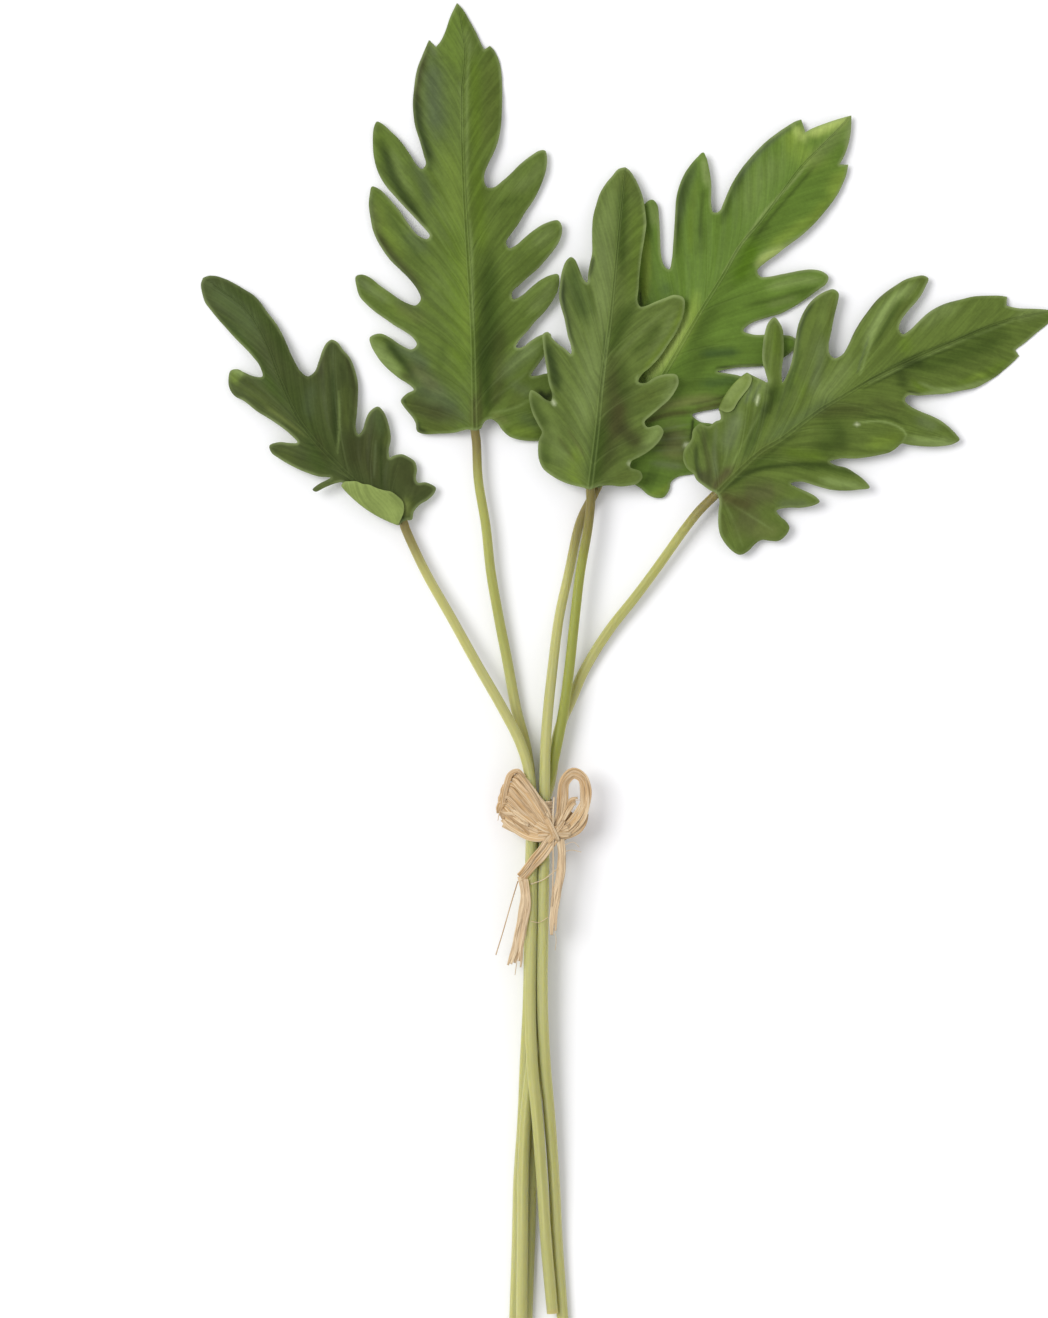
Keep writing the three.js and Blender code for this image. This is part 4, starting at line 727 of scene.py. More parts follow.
STROKES["leaf_5"] = [
    ("pale", 8, 60, (922, 326), (936, 314), (956, 308)),
    ("slate", 1.5, 50, (905, 333), (930, 312), (960, 300)),
    ("dark", 1.2, 65, (850, 392), (880, 374), (906, 360), (940, 346), (975, 332), (1006, 322)),
    ("light", 1.4, 50, (868, 384), (905, 366), (945, 348), (980, 334), (1012, 321)),
    ("dark", 1.2, 55, (862, 390), (900, 371), (940, 353), (964, 345)),
    # Painted shade on the lower flank of the midrib; its upper flank is lit.
    ("deep", 10, 70, (908, 370), (940, 361), (975, 349), (1006, 336)),
    ("dark", 6, 70, (900, 366), (922, 362)),
    ("fresh", 5, 60, (960, 383), (985, 375), (1006, 362)),
    ("lime", 3, 45, (968, 380), (984, 374)),
    ("dark", 7, 60, (898, 370), (903, 388)),
    ("fresh", 3, 70, (911, 381), (922, 390), (940, 393)),
    ("light", 1.8, 60, (918, 383), (935, 389), (960, 391)),
    ("black", 1.4, 80, (907, 392), (920, 395)),
    ("fresh", 7, 70, (903, 339), (905, 353)),
    ("light", 5, 85, (908, 287), (889, 304), (876, 324), (864, 346)),
    ("umber", 1.4, 60, (898, 285), (876, 302), (858, 325), (849, 343)),
    ("deep", 2.8, 70, (902, 298), (886, 324), (873, 346)),
    ("olive", 4, 50, (909, 302), (896, 320)),
    ("olive", 5, 60, (917, 282), (925, 280)),
    ("slate", 1.3, 50, (868, 338), (862, 356), (856, 374)),
    ("light", 1.2, 50, (872, 340), (865, 358), (859, 376)),
    ("pale", 10, 65, (848, 364), (832, 384), (816, 400)),
    ("olive", 4, 70, (832, 298), (829, 324)),
    ("grey", 6, 50, (822, 340), (818, 366), (811, 392)),
    ("dark", 3.4, 90, (813, 301), (803, 318), (797, 338), (793, 356)),
    ("deep", 5, 75, (797, 346), (793, 370), (787, 396)),
    ("fresh", 5, 55, (774, 328), (776, 356)),
    ("dark", 1.3, 60, (764, 338), (762, 362)),
    ("deep", 8, 35, (778, 384), (782, 404), (775, 422)),
    ("deep", 6, 70, (766, 404), (758, 426), (748, 446)),
    ("light", 7, 60, (748, 400), (758, 389), (768, 381)),
    ("slate", 1.8, 70, (752, 384), (745, 404)),
    ("slate", 1.8, 60, (760, 384), (752, 402)),
    ("spot", 1.5, 75, (758, 396), (756, 405)),
    ("grey", 8, 65, (738, 416), (730, 434), (724, 450)),
    ("deep", 5, 50, (705, 430), (704, 452)),
    ("dark", 2.4, 70, (697, 444), (696, 462), (700, 480)),
    ("umber", 6, 40, (700, 474), (706, 484)),
    ("light", 1.2, 25, (722, 470), (728, 446), (737, 420)),
    ("light", 1.2, 25, (729, 470), (744, 442), (760, 412)),
    ("olive", 5, 60, (720, 486), (750, 460), (778, 439)),
    ("dark", 2.4, 45, (728, 486), (764, 457), (800, 431)),
    # Painted shade below the midrib near the middle of the leaf.
    ("deep", 13, 60, (826, 418), (834, 436), (816, 455)),
    ("umber", 8, 35, (870, 402), (900, 410)),
    ("grey", 6, 50, (916, 419), (936, 428)),
    ("light", 4.5, 75, (906, 439), (928, 442), (952, 442)),
    ("bright", 7, 70, (868, 446), (888, 440), (900, 437)),
    ("dark", 2, 50, (862, 418), (886, 418), (903, 424)),
    ("light", 1.2, 75, (859, 423), (880, 422), (897, 427), (905, 435), (901, 444)),
    ("spot", 1.8, 90, (854, 425), (858, 425)),
    ("dark", 2.8, 80, (722, 492), (740, 478), (760, 469), (790, 465), (830, 466), (860, 476)),
    ("light", 4.5, 65, (820, 480), (840, 484), (862, 487)),
    ("deep", 6, 60, (752, 465), (778, 458)),
    ("mauve", 13, 80, (742, 496), (776, 492)),
    ("mauve", 10, 60, (738, 514), (760, 522)),
    ("tan", 8, 65, (778, 530), (764, 532), (750, 534)),
    ("umber", 3, 50, (721, 512), (726, 536)),
    ("light", 1.2, 35, (723, 500), (734, 524), (742, 546)),
    ("light", 1.2, 35, (724, 500), (750, 516), (772, 530)),
    ("umber", 6, 50, (713, 450), (716, 476)),
    ("fresh", 5, 45, (796, 376), (802, 396)),
    # More painted shade on the lower flank of the midrib.
    ("deep", 5, 50, (956, 343), (984, 334), (1006, 328)),
    ("pale", 5, 65, (1014, 318), (1042, 312)),
    ("light", 2.6, 75, (924, 393), (960, 389), (988, 380)),
    # More painted shade below the midrib.
    ("dark", 8, 40, (838, 428), (842, 448)),
    ("fresh", 6, 75, (784, 452), (802, 455), (822, 457)),
    ("deep", 4, 60, (798, 468), (830, 469), (852, 475)),
    ("brown", 8, 75, (719, 495), (734, 502), (752, 505)),
    ("grey", 5, 50, (778, 504), (808, 504)),
    ("olive", 10, 50, (728, 518), (740, 540)),
    ("pale", 3, 60, (917, 283), (904, 300)),
    ("dark", 5, 80, (769, 387), (771, 400), (763, 416)),
    ("deep", 5, 70, (776, 386), (776, 404)),
    ("umber", 7, 75, (700, 472), (710, 486)),
    ("brown", 5, 80, (712, 490), (720, 480), (731, 468)),
    ("deep", 5, 60, (755, 438), (744, 458)),
    ("umber", 8, 50, (812, 414), (840, 410), (868, 412)),
    ("pale", 5, 60, (726, 402), (734, 388), (743, 376)),
    ("olive", 4, 60, (742, 382), (750, 377)),
    ("deep", 1.8, 60, (747, 384), (740, 400), (732, 414)),
    ("sage", 6, 50, (768, 441), (798, 420), (830, 400)),
    ("mauve", 11, 45, (734, 522), (756, 530)),
    ("umber", 3, 60, (703, 430), (706, 455), (712, 482)),
    ("grey", 2.5, 50, (716, 424), (714, 452), (716, 478)),
]

# The light and the gloss lift a painted tone, blue the most, so it is laid on darker by this much.
PAINT_GAIN = np.array([0.84, 0.86, 0.72])

# The tones, as they look in the picture.
PALETTE = {
    "bright": (116, 136, 56),
    "lime": (136, 158, 70),
    "fresh": (100, 122, 44),
    "deep": (66, 84, 34),
    "dark": (50, 64, 28),
    "black": (30, 38, 18),
    "olive": (92, 104, 50),
    "umber": (66, 68, 40),
    "brown": (82, 76, 48),
    "mauve": (92, 94, 62),
    "slate": (84, 96, 72),
    "grey": (108, 120, 88),
    "sage": (88, 104, 66),
    "pale": (120, 136, 82),
    "light": (138, 156, 98),
    "tan": (116, 126, 72),
    "blue": (62, 84, 50),
    "vivid": (84, 114, 28),
    # glow: the pale lime of leaf 4's bright margins, also laid as painted light where leaf 3 shades leaf 4.
    "glow": (172, 188, 112),
    "spot": (196, 204, 176),
}


# Lines and outlines.


def linear(colour):
    """sRGB bytes to linear light."""
    c = np.asarray(colour, float) / 255
    return np.where(c <= 0.04045, c / 12.92, ((c + 0.055) / 1.055) ** 2.4)


def plan(drawn):
    """Drawing steps to mm about the middle of the bunch."""
    p = np.atleast_2d(np.asarray(drawn, float))
    x = (p[:, 0] - DRAWN_MIDDLE[0]) * STEP + CENTRE_SHIFT[0]
    y = (DRAWN_MIDDLE[1] - p[:, 1]) * STEP + CENTRE_SHIFT[1]
    return np.stack([x, y], 1)


def drawn_from(xy):
    """Mm about the middle of the bunch to drawing steps."""
    x = (xy[:, 0] - CENTRE_SHIFT[0]) / STEP + DRAWN_MIDDLE[0]
    y = DRAWN_MIDDLE[1] - (xy[:, 1] - CENTRE_SHIFT[1]) / STEP
    return np.stack([x, y], 1)


def with_height(drawn):
    """Drawing points that carry a height, in mm."""
    return np.column_stack([plan([p[:2] for p in drawn]), [p[2] for p in drawn]])


def smooth_line(points, length):
    """A smooth open line through points, cut into pieces of about one length."""
    points = [np.asarray(p, float) for p in points]
    rows = []
    for i in range(len(points) - 1):
        p1 = points[i]
        p2 = points[i + 1]
        p0 = points[i - 1] if i > 0 else 2 * p1 - p2
        p3 = points[i + 2] if i + 2 < len(points) else 2 * p2 - p1
        t1 = max(1e-6, np.linalg.norm(p1 - p0)) ** 0.5
        t2 = t1 + max(1e-6, np.linalg.norm(p2 - p1)) ** 0.5
        t3 = t2 + max(1e-6, np.linalg.norm(p3 - p2)) ** 0.5
        count = max(1, round(float(np.linalg.norm(p2 - p1)) / length))
        t = (t1 + (t2 - t1) * np.arange(count) / count)[:, None]

        def mix(a, b, ta, tb):
            return (a * (tb - t) + b * (t - ta)) / (tb - ta)

        a1 = mix(p0, p1, 0, t1)
        a2 = mix(p1, p2, t1, t2)
        a3 = mix(p2, p3, t2, t3)
        rows.append(mix(mix(a1, a2, 0, t2), mix(a2, a3, t1, t3), t1, t2))
    rows.append(points[-1][None])
    return np.concatenate(rows)


def midrib_in_plan(leaf, length):
    return smooth_line(plan([p[:2] for p in leaf["midrib"]]), length)


def run_along(line):
    """How far each point of a line is from its start, along the line."""
    return np.concatenate([[0], np.cumsum(np.linalg.norm(np.diff(line, axis=0), axis=1))])


def unit(rows):
    """Each row at length 1."""
    return rows / np.maximum(1e-9, np.linalg.norm(rows, axis=1))[:, None]


def closed_outline(drawn, length):
    """A closed outline in plan, smooth except at its marked corners."""
    corners = [i for i, p in enumerate(drawn) if len(p) > 2 and p[2] == 1]
    first = corners[0] if corners else 0
    turned = drawn[first:] + drawn[:first] + [drawn[first]]
    rows = []
    run = [turned[0]]
    for i, point in enumerate(turned[1:], 1):
        run.append(point)
        if (len(point) > 2 and point[2] == 1) or i == len(turned) - 1:
            rows.append(smooth_line(plan([p[:2] for p in run]), length)[:-1])
            run = [point]
    return np.concatenate(rows)


def nearest(line, xy):
    """For each point: distance to a line, the piece of the line it is nearest to, and how far along it."""
    best = np.full(len(xy), np.inf)
    piece = np.zeros(len(xy), int)
    along = np.zeros(len(xy))
    for i in range(len(line) - 1):
        a = line[i, :2]
        d = line[i + 1, :2] - a
        rel = xy - a
        t = np.clip(rel @ d / max(1e-9, d @ d), 0, 1)
        gap = ((rel - t[:, None] * d) ** 2).sum(1)
        better = gap < best
        best[better] = gap[better]
        piece[better] = i
        along[better] = t[better]
    return np.sqrt(best), piece, along


def side_of(line, piece, xy):
    """Positive where a point lies left of the line's own direction."""
    a = line[piece, :2]
    d = line[piece + 1, :2] - a
    rel = xy - a
    return d[:, 0] * rel[:, 1] - d[:, 1] * rel[:, 0]


def inside(polygon, xy):
    """Which points lie inside a polygon."""
    result = np.zeros(len(xy), bool)
    x = xy[:, 0]
    y = xy[:, 1]
    for (x1, y1), (x0, y0) in zip(polygon, np.roll(polygon, 1, 0)):
        if y1 == y0:
            continue
        crosses = (y1 > y) != (y0 > y)
        result ^= crosses & (x < (x0 - x1) * (y - y1) / (y0 - y1) + x1)
    return result


def closed(polygon):
    return np.concatenate([polygon, polygon[:1]])


def rounded(d, r):
    """A distance whose sharp bottom at 0 is rounded."""
    return np.sqrt(d * d + r * r) - r


def above(a, b, r):
    """The higher of two heights, with a soft change from one to the other."""
    return 0.5 * (a + b + np.sqrt((a - b) ** 2 + r * r))


def ease(low, high, value):
    """0 below low, 1 above high, smooth between."""
    t = np.clip((value - low) / (high - low), 0, 1)
    return t * t * (3 - 2 * t)


# Blades.


class Fold:
    """The part of a blade beyond its fold line is rolled back over the blade."""

    def __init__(self, shape):
        self.a, b = plan([shape["start"], shape["end"]])
        self.length = float(np.linalg.norm(b - self.a))
        self.along = (b - self.a) / self.length
        self.out = np.array([self.along[1], -self.along[0]]) * shape["side"]
        self.bulge = shape["bulge"] * STEP
        self.radius = shape["radius"]

    def place(self, xy):
        """How far along the fold line, from 0 to 1, and how far beyond it a plan point is."""
        rel = xy - self.a
        u = rel @ self.along / self.length
        return u, rel @ self.out - 4 * self.bulge * u * (1 - u)

    def point(self, u, s):
        w = s + 4 * self.bulge * u * (1 - u)
        return self.a + np.outer(u * self.length, self.along) + np.outer(w, self.out)

    def rolled(self, xy):
        """Plan points after rolling, and their lift."""
        u, s = self.place(xy)
        on = (s > 0) & (u > FOLD_FROM) & (u < FOLD_TO)
        angle = np.clip(s / self.radius, 0, math.pi)
        back = np.maximum(0, s - math.pi * self.radius)
        moved = self.point(u, self.radius * np.sin(angle) - back)
        place = np.where(on[:, None], moved, xy)
        lift = np.where(on, self.radius * (1 - np.cos(angle)), 0)
        return place, lift


def blade_outline(leaf, fold, length):
    """A blade's outline laid flat. Without the fold, a rolled part is left off."""
    drawn = list(leaf["left"])
    if fold:
        u, s = fold.place(plan(leaf["flap"]))
        drawn += [tuple(p) for p in drawn_from(fold.point(u, -s + math.pi * fold.radius))]
        drawn += leaf.get("left_below", [])
    drawn += [leaf["base"]] + leaf["right"][::-1]
    return closed_outline(drawn, length)


def support(leaf, field):
    """The height at which a blade holds what lies on it, and lets it droop past its margin."""
    outline = blade_outline(leaf, None, SUPPORT_STEP)

    def held(xy):
        gap = nearest(closed(outline), xy)[0]
        past = np.where(inside(outline, xy), 0, np.maximum(0, gap - SUPPORT_MARGIN))
        return field(xy) + LAYER_GAP - DROOP_PAST_EDGE * past

    return held


def arched_veins(leaf):
    """The lobe veins in plan: each leaves the midrib at a low angle and bends out to its lobe's tip."""
    midrib = midrib_in_plan(leaf, 1)
    run = run_along(midrib)
    t = np.linspace(0, 1, VEIN_POINTS)[:, None]
    curves = []
    for ax, ay, bx, by in leaf["veins"]:
        root, tip = plan([(ax, ay), (bx, by)])
        _, piece, along = nearest(midrib, root[None])
        at = max(0, run[piece[0]] + along[0] - VEIN_LOW_ANGLE)
        start = np.array([np.interp(at, run, midrib[:, 0]), np.interp(at, run, midrib[:, 1])])
        bend = root + VEIN_BEND * (tip - root)
        curves.append((1 - t) ** 2 * start + 2 * t * (1 - t) * bend + t * t * tip)
    return curves


def height_field(leaf, supports):
    """Height of the middle of a blade over plan points, as in the solids."""
    midrib = smooth_line(with_height(leaf["midrib"]), 3)
    veins = arched_veins(leaf)

    def field(xy):
        gap, piece, along = nearest(midrib, xy)
        high = midrib[piece, 2] + (midrib[piece + 1, 2] - midrib[piece, 2]) * along
        fall = np.where(side_of(midrib, piece, xy) > 0, leaf["fall"][0], leaf["fall"][1])
        closest = np.min([nearest(vein, xy)[0] for vein in veins], axis=0)
        ridge = rounded(gap, RIDGE_ROUNDING)
        pleat = np.minimum(PLEAT_AT_RIB * ridge, rounded(closest, VEIN_ROUNDING))
        drop = fall * RIDGE_WIDTH * (1 - np.exp(-ridge / RIDGE_WIDTH)) + OUTER_FALL * ridge
        height = above(high - drop - leaf["vein_fall"] * pleat, LOWEST_MIDDLE, GROUND_BLEND)
        for held in supports:
            height = above(height, held(xy), LAYER_BLEND)
        return height

    return field


def spread(outline, lines, step):
    """Points for a mesh inside an outline: the outline first, then lines to keep, then an even field."""
    loop = closed(outline)
    kept = []
    for line in lines:
        points = smooth_line(line, step * 0.9)
        points = points[inside(outline, points)]
        if not len(points):
            continue
        points = points[nearest(loop, points)[0] > 0.4 * step]
        for p in points:
            if all((p[0] - q[0]) ** 2 + (p[1] - q[1]) ** 2 > (0.55 * step) ** 2 for q in kept[-4000:]):
                kept.append(p)
    low = outline.min(0)
    high = outline.max(0)
    gx, gy = np.meshgrid(np.arange(low[0], high[0], step), np.arange(low[1], high[1], step * ROW_STEP))
    gx[1::2] += step / 2
    grid = np.stack([gx.ravel(), gy.ravel()], 1)
    grid = grid[inside(outline, grid)]
    grid = grid[nearest(loop, grid)[0] > 0.5 * step]
    tree = kdtree.KDTree(max(1, len(kept)))
    for i, p in enumerate(kept):
        tree.insert((p[0], p[1], 0), i)
    tree.balance()
    clear = [tree.find((p[0], p[1], 0))[2] > 0.62 * step for p in grid]
    return np.concatenate([outline, np.array(kept), grid[np.array(clear)]])


def triangulated(outline, points):
    """Triangles over plan points inside an outline, seen from above turning left."""
    n = len(outline)
    edges = [(i, (i + 1) % n) for i in range(n)]
    made = delaunay_2d_cdt([Vector(p) for p in points], edges, [], 0, 1e-7)
    points = np.array([tuple(v) for v in made[0]])
    faces = np.array([f for f in made[2] if len(f) == 3])
    a, b, c = points[faces.T]
    faces = faces[inside(outline, (a + b + c) / 3)]
    a, b, c = points[faces.T]
    turn = (b[:, 0] - a[:, 0]) * (c[:, 1] - a[:, 1]) - (b[:, 1] - a[:, 1]) * (c[:, 0] - a[:, 0])
    faces[turn < 0] = faces[turn < 0][:, ::-1]
    return points, faces


def vein_grain(leaf, midrib, xy, gap, piece, along, left):
    """A value that runs along the midrib and stays the same along the small veins of each lobe."""
    reach = run_along(midrib)
    stretch = np.diff(reach)
    result = reach[piece] + along * stretch[piece] + 0.8 * gap
    for want_left in (True, False):
        veins = []
        for line in arched_veins(leaf):
            _, p, t = nearest(midrib, line[:1])
            is_left = side_of(midrib, nearest(midrib, line[-1:])[1], line[-1:])[0] > 0
            if is_left == want_left:
                veins.append((reach[p[0]] + t[0] * stretch[p[0]], line))
        veins.sort(key=lambda v: v[0])
        here = left == want_left
        if not veins or not here.any():
            continue
        points = xy[here]
        root = np.array([v[0] for v in veins])
        gaps = []
        signs = []
        for _, line in veins:
            longer = np.concatenate([line, [line[-1] + 3 * (line[-1] - line[-2])]])
            d, p, _ = nearest(longer, points)
            gaps.append(d)
            signs.append(np.sign(side_of(longer, p, points)) * (-1 if want_left else 1))
        gaps = np.array(gaps)
        k = gaps.argmin(0)
        index = np.arange(len(points))
        d = gaps[k, index]
        up = np.array(signs)[k, index] > 0
        other = np.where(up, k + 1, k - 1)
        has = (other >= 0) & (other < len(veins))
        safe = np.clip(other, 0, len(veins) - 1)
        e = gaps[safe, index]
        between = root[k] + (root[safe] - root[k]) * d / np.maximum(1e-6, d + e)
        beyond = root[k] + np.where(up, 1.2, -1.2) * d
        result[here] = np.where(has, between, beyond)
    return result + 5 * np.exp(-gap / 5)


def waves(xy, seed, length, size):
    """A gentle random unevenness: a few sines that cross each other."""
    draw = np.random.default_rng(seed)
    total = np.zeros(len(xy))
    for _ in range(WAVE_COUNT):
        turn = draw.uniform(0, math.tau)
        k = math.tau / (length * draw.uniform(0.7, 1.6))
        across = xy[:, 0] * math.cos(turn) + xy[:, 1] * math.sin(turn)
        total += np.sin(k * across + draw.uniform(0, math.tau))
    return total * size / WAVE_COUNT ** 0.5


def mesh_object(name, points, faces, values, colour=None, sharp=None):
    """A mesh with smooth faces, placed in metres, and a value for each point under each name."""
    mesh = bpy.data.meshes.new(name)
    mesh.from_pydata((np.asarray(points) * MM).tolist(), [], [list(map(int, f)) for f in faces])
    for key, data in values.items():
        data = np.asarray(data, float)
        kind = "FLOAT_VECTOR" if data.ndim == 2 else "FLOAT"
        layer = mesh.attributes.new(key, kind, "POINT")
        layer.data.foreach_set("vector" if data.ndim == 2 else "value", data.ravel())
    if colour is not None:
        layer = mesh.color_attributes.new("tint", "FLOAT_COLOR", "POINT")
        rgba = np.column_stack([colour, np.ones(len(colour))])
        layer.data.foreach_set("color", rgba.ravel())
    mesh.polygons.foreach_set("use_smooth", [True] * len(mesh.polygons))
    if sharp is not None:
        ends = np.zeros(len(mesh.edges) * 2, int)
        mesh.edges.foreach_get("vertices", ends)
        ends = ends.reshape(-1, 2)
        low, high = ends.min(1), ends.max(1)
        flags = np.isin(low * len(points) + high, sharp)
        mesh.edges.foreach_set("use_edge_sharp", flags.tolist())
    mesh.update()
    piece = bpy.data.objects.new(name, mesh)
    bpy.context.scene.collection.objects.link(piece)
    return piece


def vein_places(lines, flat):
    """For each point: distance to the nearest lobe vein, and how far out along that vein it is."""
    gap = np.full(len(flat), np.inf)
    fade = np.ones(len(flat))
    for line in lines:
        d, at, t = nearest(line, flat)
        better = d < gap
        gap[better] = d[better]
        fade[better] = ((at + t) / (len(line) - 1))[better]
    return gap, fade


def painted(name, seen, base):
    """The colour of each point of a blade: its green, with the strokes laid over it, painted shade and
    painted light among them.
    """
    colour = np.tile(linear(base) * PAINT_GAIN, (len(seen), 1))
    for word, width, percent, *points in STROKES[name]:
        line = smooth_line(points, 4)
        d, at, t = nearest(line, seen)
        t = (at + t) / (len(line) - 1)
        full = ease(-0.05, 0.2, t) * ease(-0.05, 0.2, 1 - t)
        weight = np.exp(-((d / (width * (0.7 + 0.3 * full))) ** 2.1))
        weight = percent / 100 * (0.45 + 0.55 * full) * weight
        colour += (linear(PALETTE[word]) * PAINT_GAIN - colour) * weight[:, None]
    return colour


def skin_faces(faces, n):
    """Faces of the upper and lower skins with the wall between them, and the wall's edges to keep sharp."""
    forward = {(int(p), int(q)) for f in faces for p, q in ((f[0], f[1]), (f[1], f[2]), (f[2], f[0]))}
    rim = [(p, q) for p, q in forward if (q, p) not in forward]
    walls = [(p, n + p, n + q, q) for p, q in rim]
    skins = [tuple(f) for f in faces] + [(f[0] + n, f[2] + n, f[1] + n) for f in faces]
    ends = np.sort(np.array(rim), axis=1)
    ends = np.concatenate([ends, ends + n])
    return skins + walls, ends[:, 0] * 2 * n + ends[:, 1]


def blade(name, leaf, field, settings):
    """One leaf blade: a thin skin on both faces, with its veins, waves and rolled margins."""
    fold = Fold(leaf["fold"]) if "fold" in leaf else None
    step = settings.mesh_step / MM
    outline = blade_outline(leaf, fold, step)
    midrib = midrib_in_plan(leaf, 1.5)
    vein_lines = arched_veins(leaf)
    thin = [plan(points) for _, width, _, *points in STROKES[name] if width < THIN_STROKE]
    lines = [midrib] + vein_lines + thin
    if fold:
        u = np.arange(0, 1, step / fold.length)
        for k in range(ROLL_LINES + 1):
            lines.append(fold.point(u, np.full(len(u), math.pi * fold.radius * k / ROLL_LINES)))
    flat, faces = triangulated(outline, spread(outline, lines, step))
    n = len(flat)

    margin = nearest(closed(outline), flat)[0]
    gap, piece, along = nearest(midrib, flat)
    left = side_of(midrib, piece, flat) > 0
    part = (piece + along) / (len(midrib) - 1)
    grain = vein_grain(leaf, midrib, flat, gap, piece, along, left)
    vein_gap, fade = vein_places(vein_lines, flat)

    place, lift = fold.rolled(flat) if fold else (flat, np.zeros(n))
    wave_height = settings.wave_height / MM
    ripple = waves(flat, int(name[-1]), WAVE_LENGTH, wave_height)
    ripple += 0.7 * wave_height * np.sin(grain * math.tau / PLEAT_PITCH) * ease(1.5, 9, gap)
    curl = settings.margin_roll / MM * (1 - np.clip(margin / 2.4, 0, 1)) ** 2
    high = field(place) + lift + ripple * ease(0, 8, gap) - curl
    middle = np.column_stack([place, np.maximum(high, 0.3)])

    a, b, c = middle[faces.T]
    cross = np.cross(b - a, c - a)
    normal = np.zeros_like(middle)
    for k in range(3):
        np.add.at(normal, faces[:, k], cross)
    normal = unit(normal)
    half = settings.thickness / MM / 2 * (0.4 + 0.6 * np.clip(margin / 0.8, 0, 1))
    rib_size = 0.85 - 0.7 * part
    under_rib = rib_size * np.exp(-((gap / (0.6 + 0.5 * rib_size)) ** 2)) * ease(0, 3, margin)
    top = middle + normal * half[:, None]
    below = middle - normal * (half + under_rib)[:, None]
    below[:, 2] = np.maximum(below[:, 2], FLOOR_GAP)

    values = {
        "rib": np.where(left, 1, -1) * gap / (1.35 - 0.95 * part),
        "vein": vein_gap / (0.75 - 0.45 * fade),
        "fade": fade,
        "margin": np.minimum(margin, 8),
        "grain": grain,
        "underside": np.zeros(n),
    }
    doubled = {key: np.concatenate([data, data]) for key, data in values.items()}
    doubled["underside"][n:] = leaf.get("underside", UNDERSIDE)
    colour = painted(name, drawn_from(place), settings.get_colour(name))
    colour = np.concatenate([colour, colour])
    all_faces, sharp = skin_faces(faces, n)
    made = mesh_object(name + "_skin", np.concatenate([top, below]), all_faces, doubled, colour, sharp)
    made.data.materials.append(material(name + "_surface", leaf_surface, leaf, settings))
    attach(made, "root")
    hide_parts(name + "_blade")


# Stalks.


def round_tube(line, radius, sides, ripple=0.0, seed=0):
    """A round tube along a line in mm. Gives points, faces and, for each point, its place in the fibre."""
    count = len(line)
    lobes = np.random.default_rng(seed).uniform(0, math.tau, 3)
    ahead = unit(np.gradient(line, axis=0))
    side = unit(np.cross(ahead, [0, 0, 1]))
    top = np.cross(side, ahead)
    run = run_along(line)
    angle = math.tau * np.arange(sides) / sides
    points = []
    fibre = []
    for i in range(count):
        swell = 1 + ripple * (np.sin(3 * angle + lobes[0]) + np.sin(5 * angle + lobes[1] + 0.01 * run[i])) / 2
        r = radius[i] * swell
        ring = side[i] * (np.cos(angle) * r)[:, None] + top[i] * (np.sin(angle) * r)[:, None]
        points.append(line[i] + ring)
        fibre.append(np.column_stack([np.cos(angle), np.sin(angle), np.full(sides, run[i])]))
    faces = []
    for i in range(count - 1):
        for k in range(sides):
            j = (k + 1) % sides
            faces.append((i * sides + k, (i + 1) * sides + k, (i + 1) * sides + j, i * sides + j))
    faces.append(tuple(range(sides)))
    faces.append(tuple(range((count - 1) * sides, count * sides))[::-1])
    return np.concatenate(points), faces, np.concatenate(fibre)


def rib_line(leaf, field):
    """The stalk's upper end under the blade: it grows into the midrib and gets thinner."""
    midrib = midrib_in_plan(leaf, 1)
    run = run_along(midrib)
    rows = []
    for want in RIB_STOPS:
        i = int(np.argmin(abs(run - want)))
        radius = STALK_RADIUS_TOP + (RIB_RADIUS - STALK_RADIUS_TOP) * run[i] / RIB_LENGTH
        high = field(midrib[i:i + 1])[0] - RIB_DEPTH - radius
        rows.append((midrib[i][0], midrib[i][1], high))
    return np.array(rows)


def stalk(name, leaf, field, settings):
    """One stalk, from under its blade to its cut end."""
    rib = rib_line(leaf, field)
    line = smooth_line(list(rib) + list(with_height(STALK_LINES[name])), settings.ring_step / MM)
    tie_y = plan([(0, TIE_DRAWN_Y)])[0, 1]
    y = line[:, 1]
    upper = np.clip((y - tie_y) / (rib[-1, 1] - tie_y), 0, 1)
    lower = np.clip((tie_y - y) / (tie_y - line[-1, 1]) * 3, 0, 1)
    radius = np.where(
        y > tie_y,
        STALK_RADIUS_TIE + (STALK_RADIUS_TOP - STALK_RADIUS_TIE) * upper,
        STALK_RADIUS_TIE + (STALK_RADIUS_END - STALK_RADIUS_TIE) * lower,
    )
    run = run_along(line)
    rib_run = np.linalg.norm(rib[-1] - rib[0])
    tip = RIB_RADIUS * 0.75
    radius = np.where(run < rib_run, tip + (STALK_RADIUS_TOP - tip) * run / rib_run, radius)
    points, faces, fibre = round_tube(line, radius, settings.sides, 0.03, int(name[-1]) + 20)
    brown_to, brown_end, olive, olive_to, olive_end = STALK_TONES[name]
    tones = {
        "near_leaf": 1 - ease(rib_run + brown_to, rib_run + brown_end, run),
        "olive": olive * (1 - ease(rib_run + olive_to, rib_run + olive_end, run)),
        "cut_end": ease(run[-1] - 1.2, run[-1] - 0.1, run),
    }
    values = {key: np.repeat(tone, settings.sides) for key, tone in tones.items()}
    made = mesh_object(name + "_stem", points, faces, {"fibre": fibre, **values})
    made.data.materials.append(material("stalk_surface", stalk_surface, settings))
    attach(made, "root")
    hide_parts(name + "_stalk")


# Raffia.


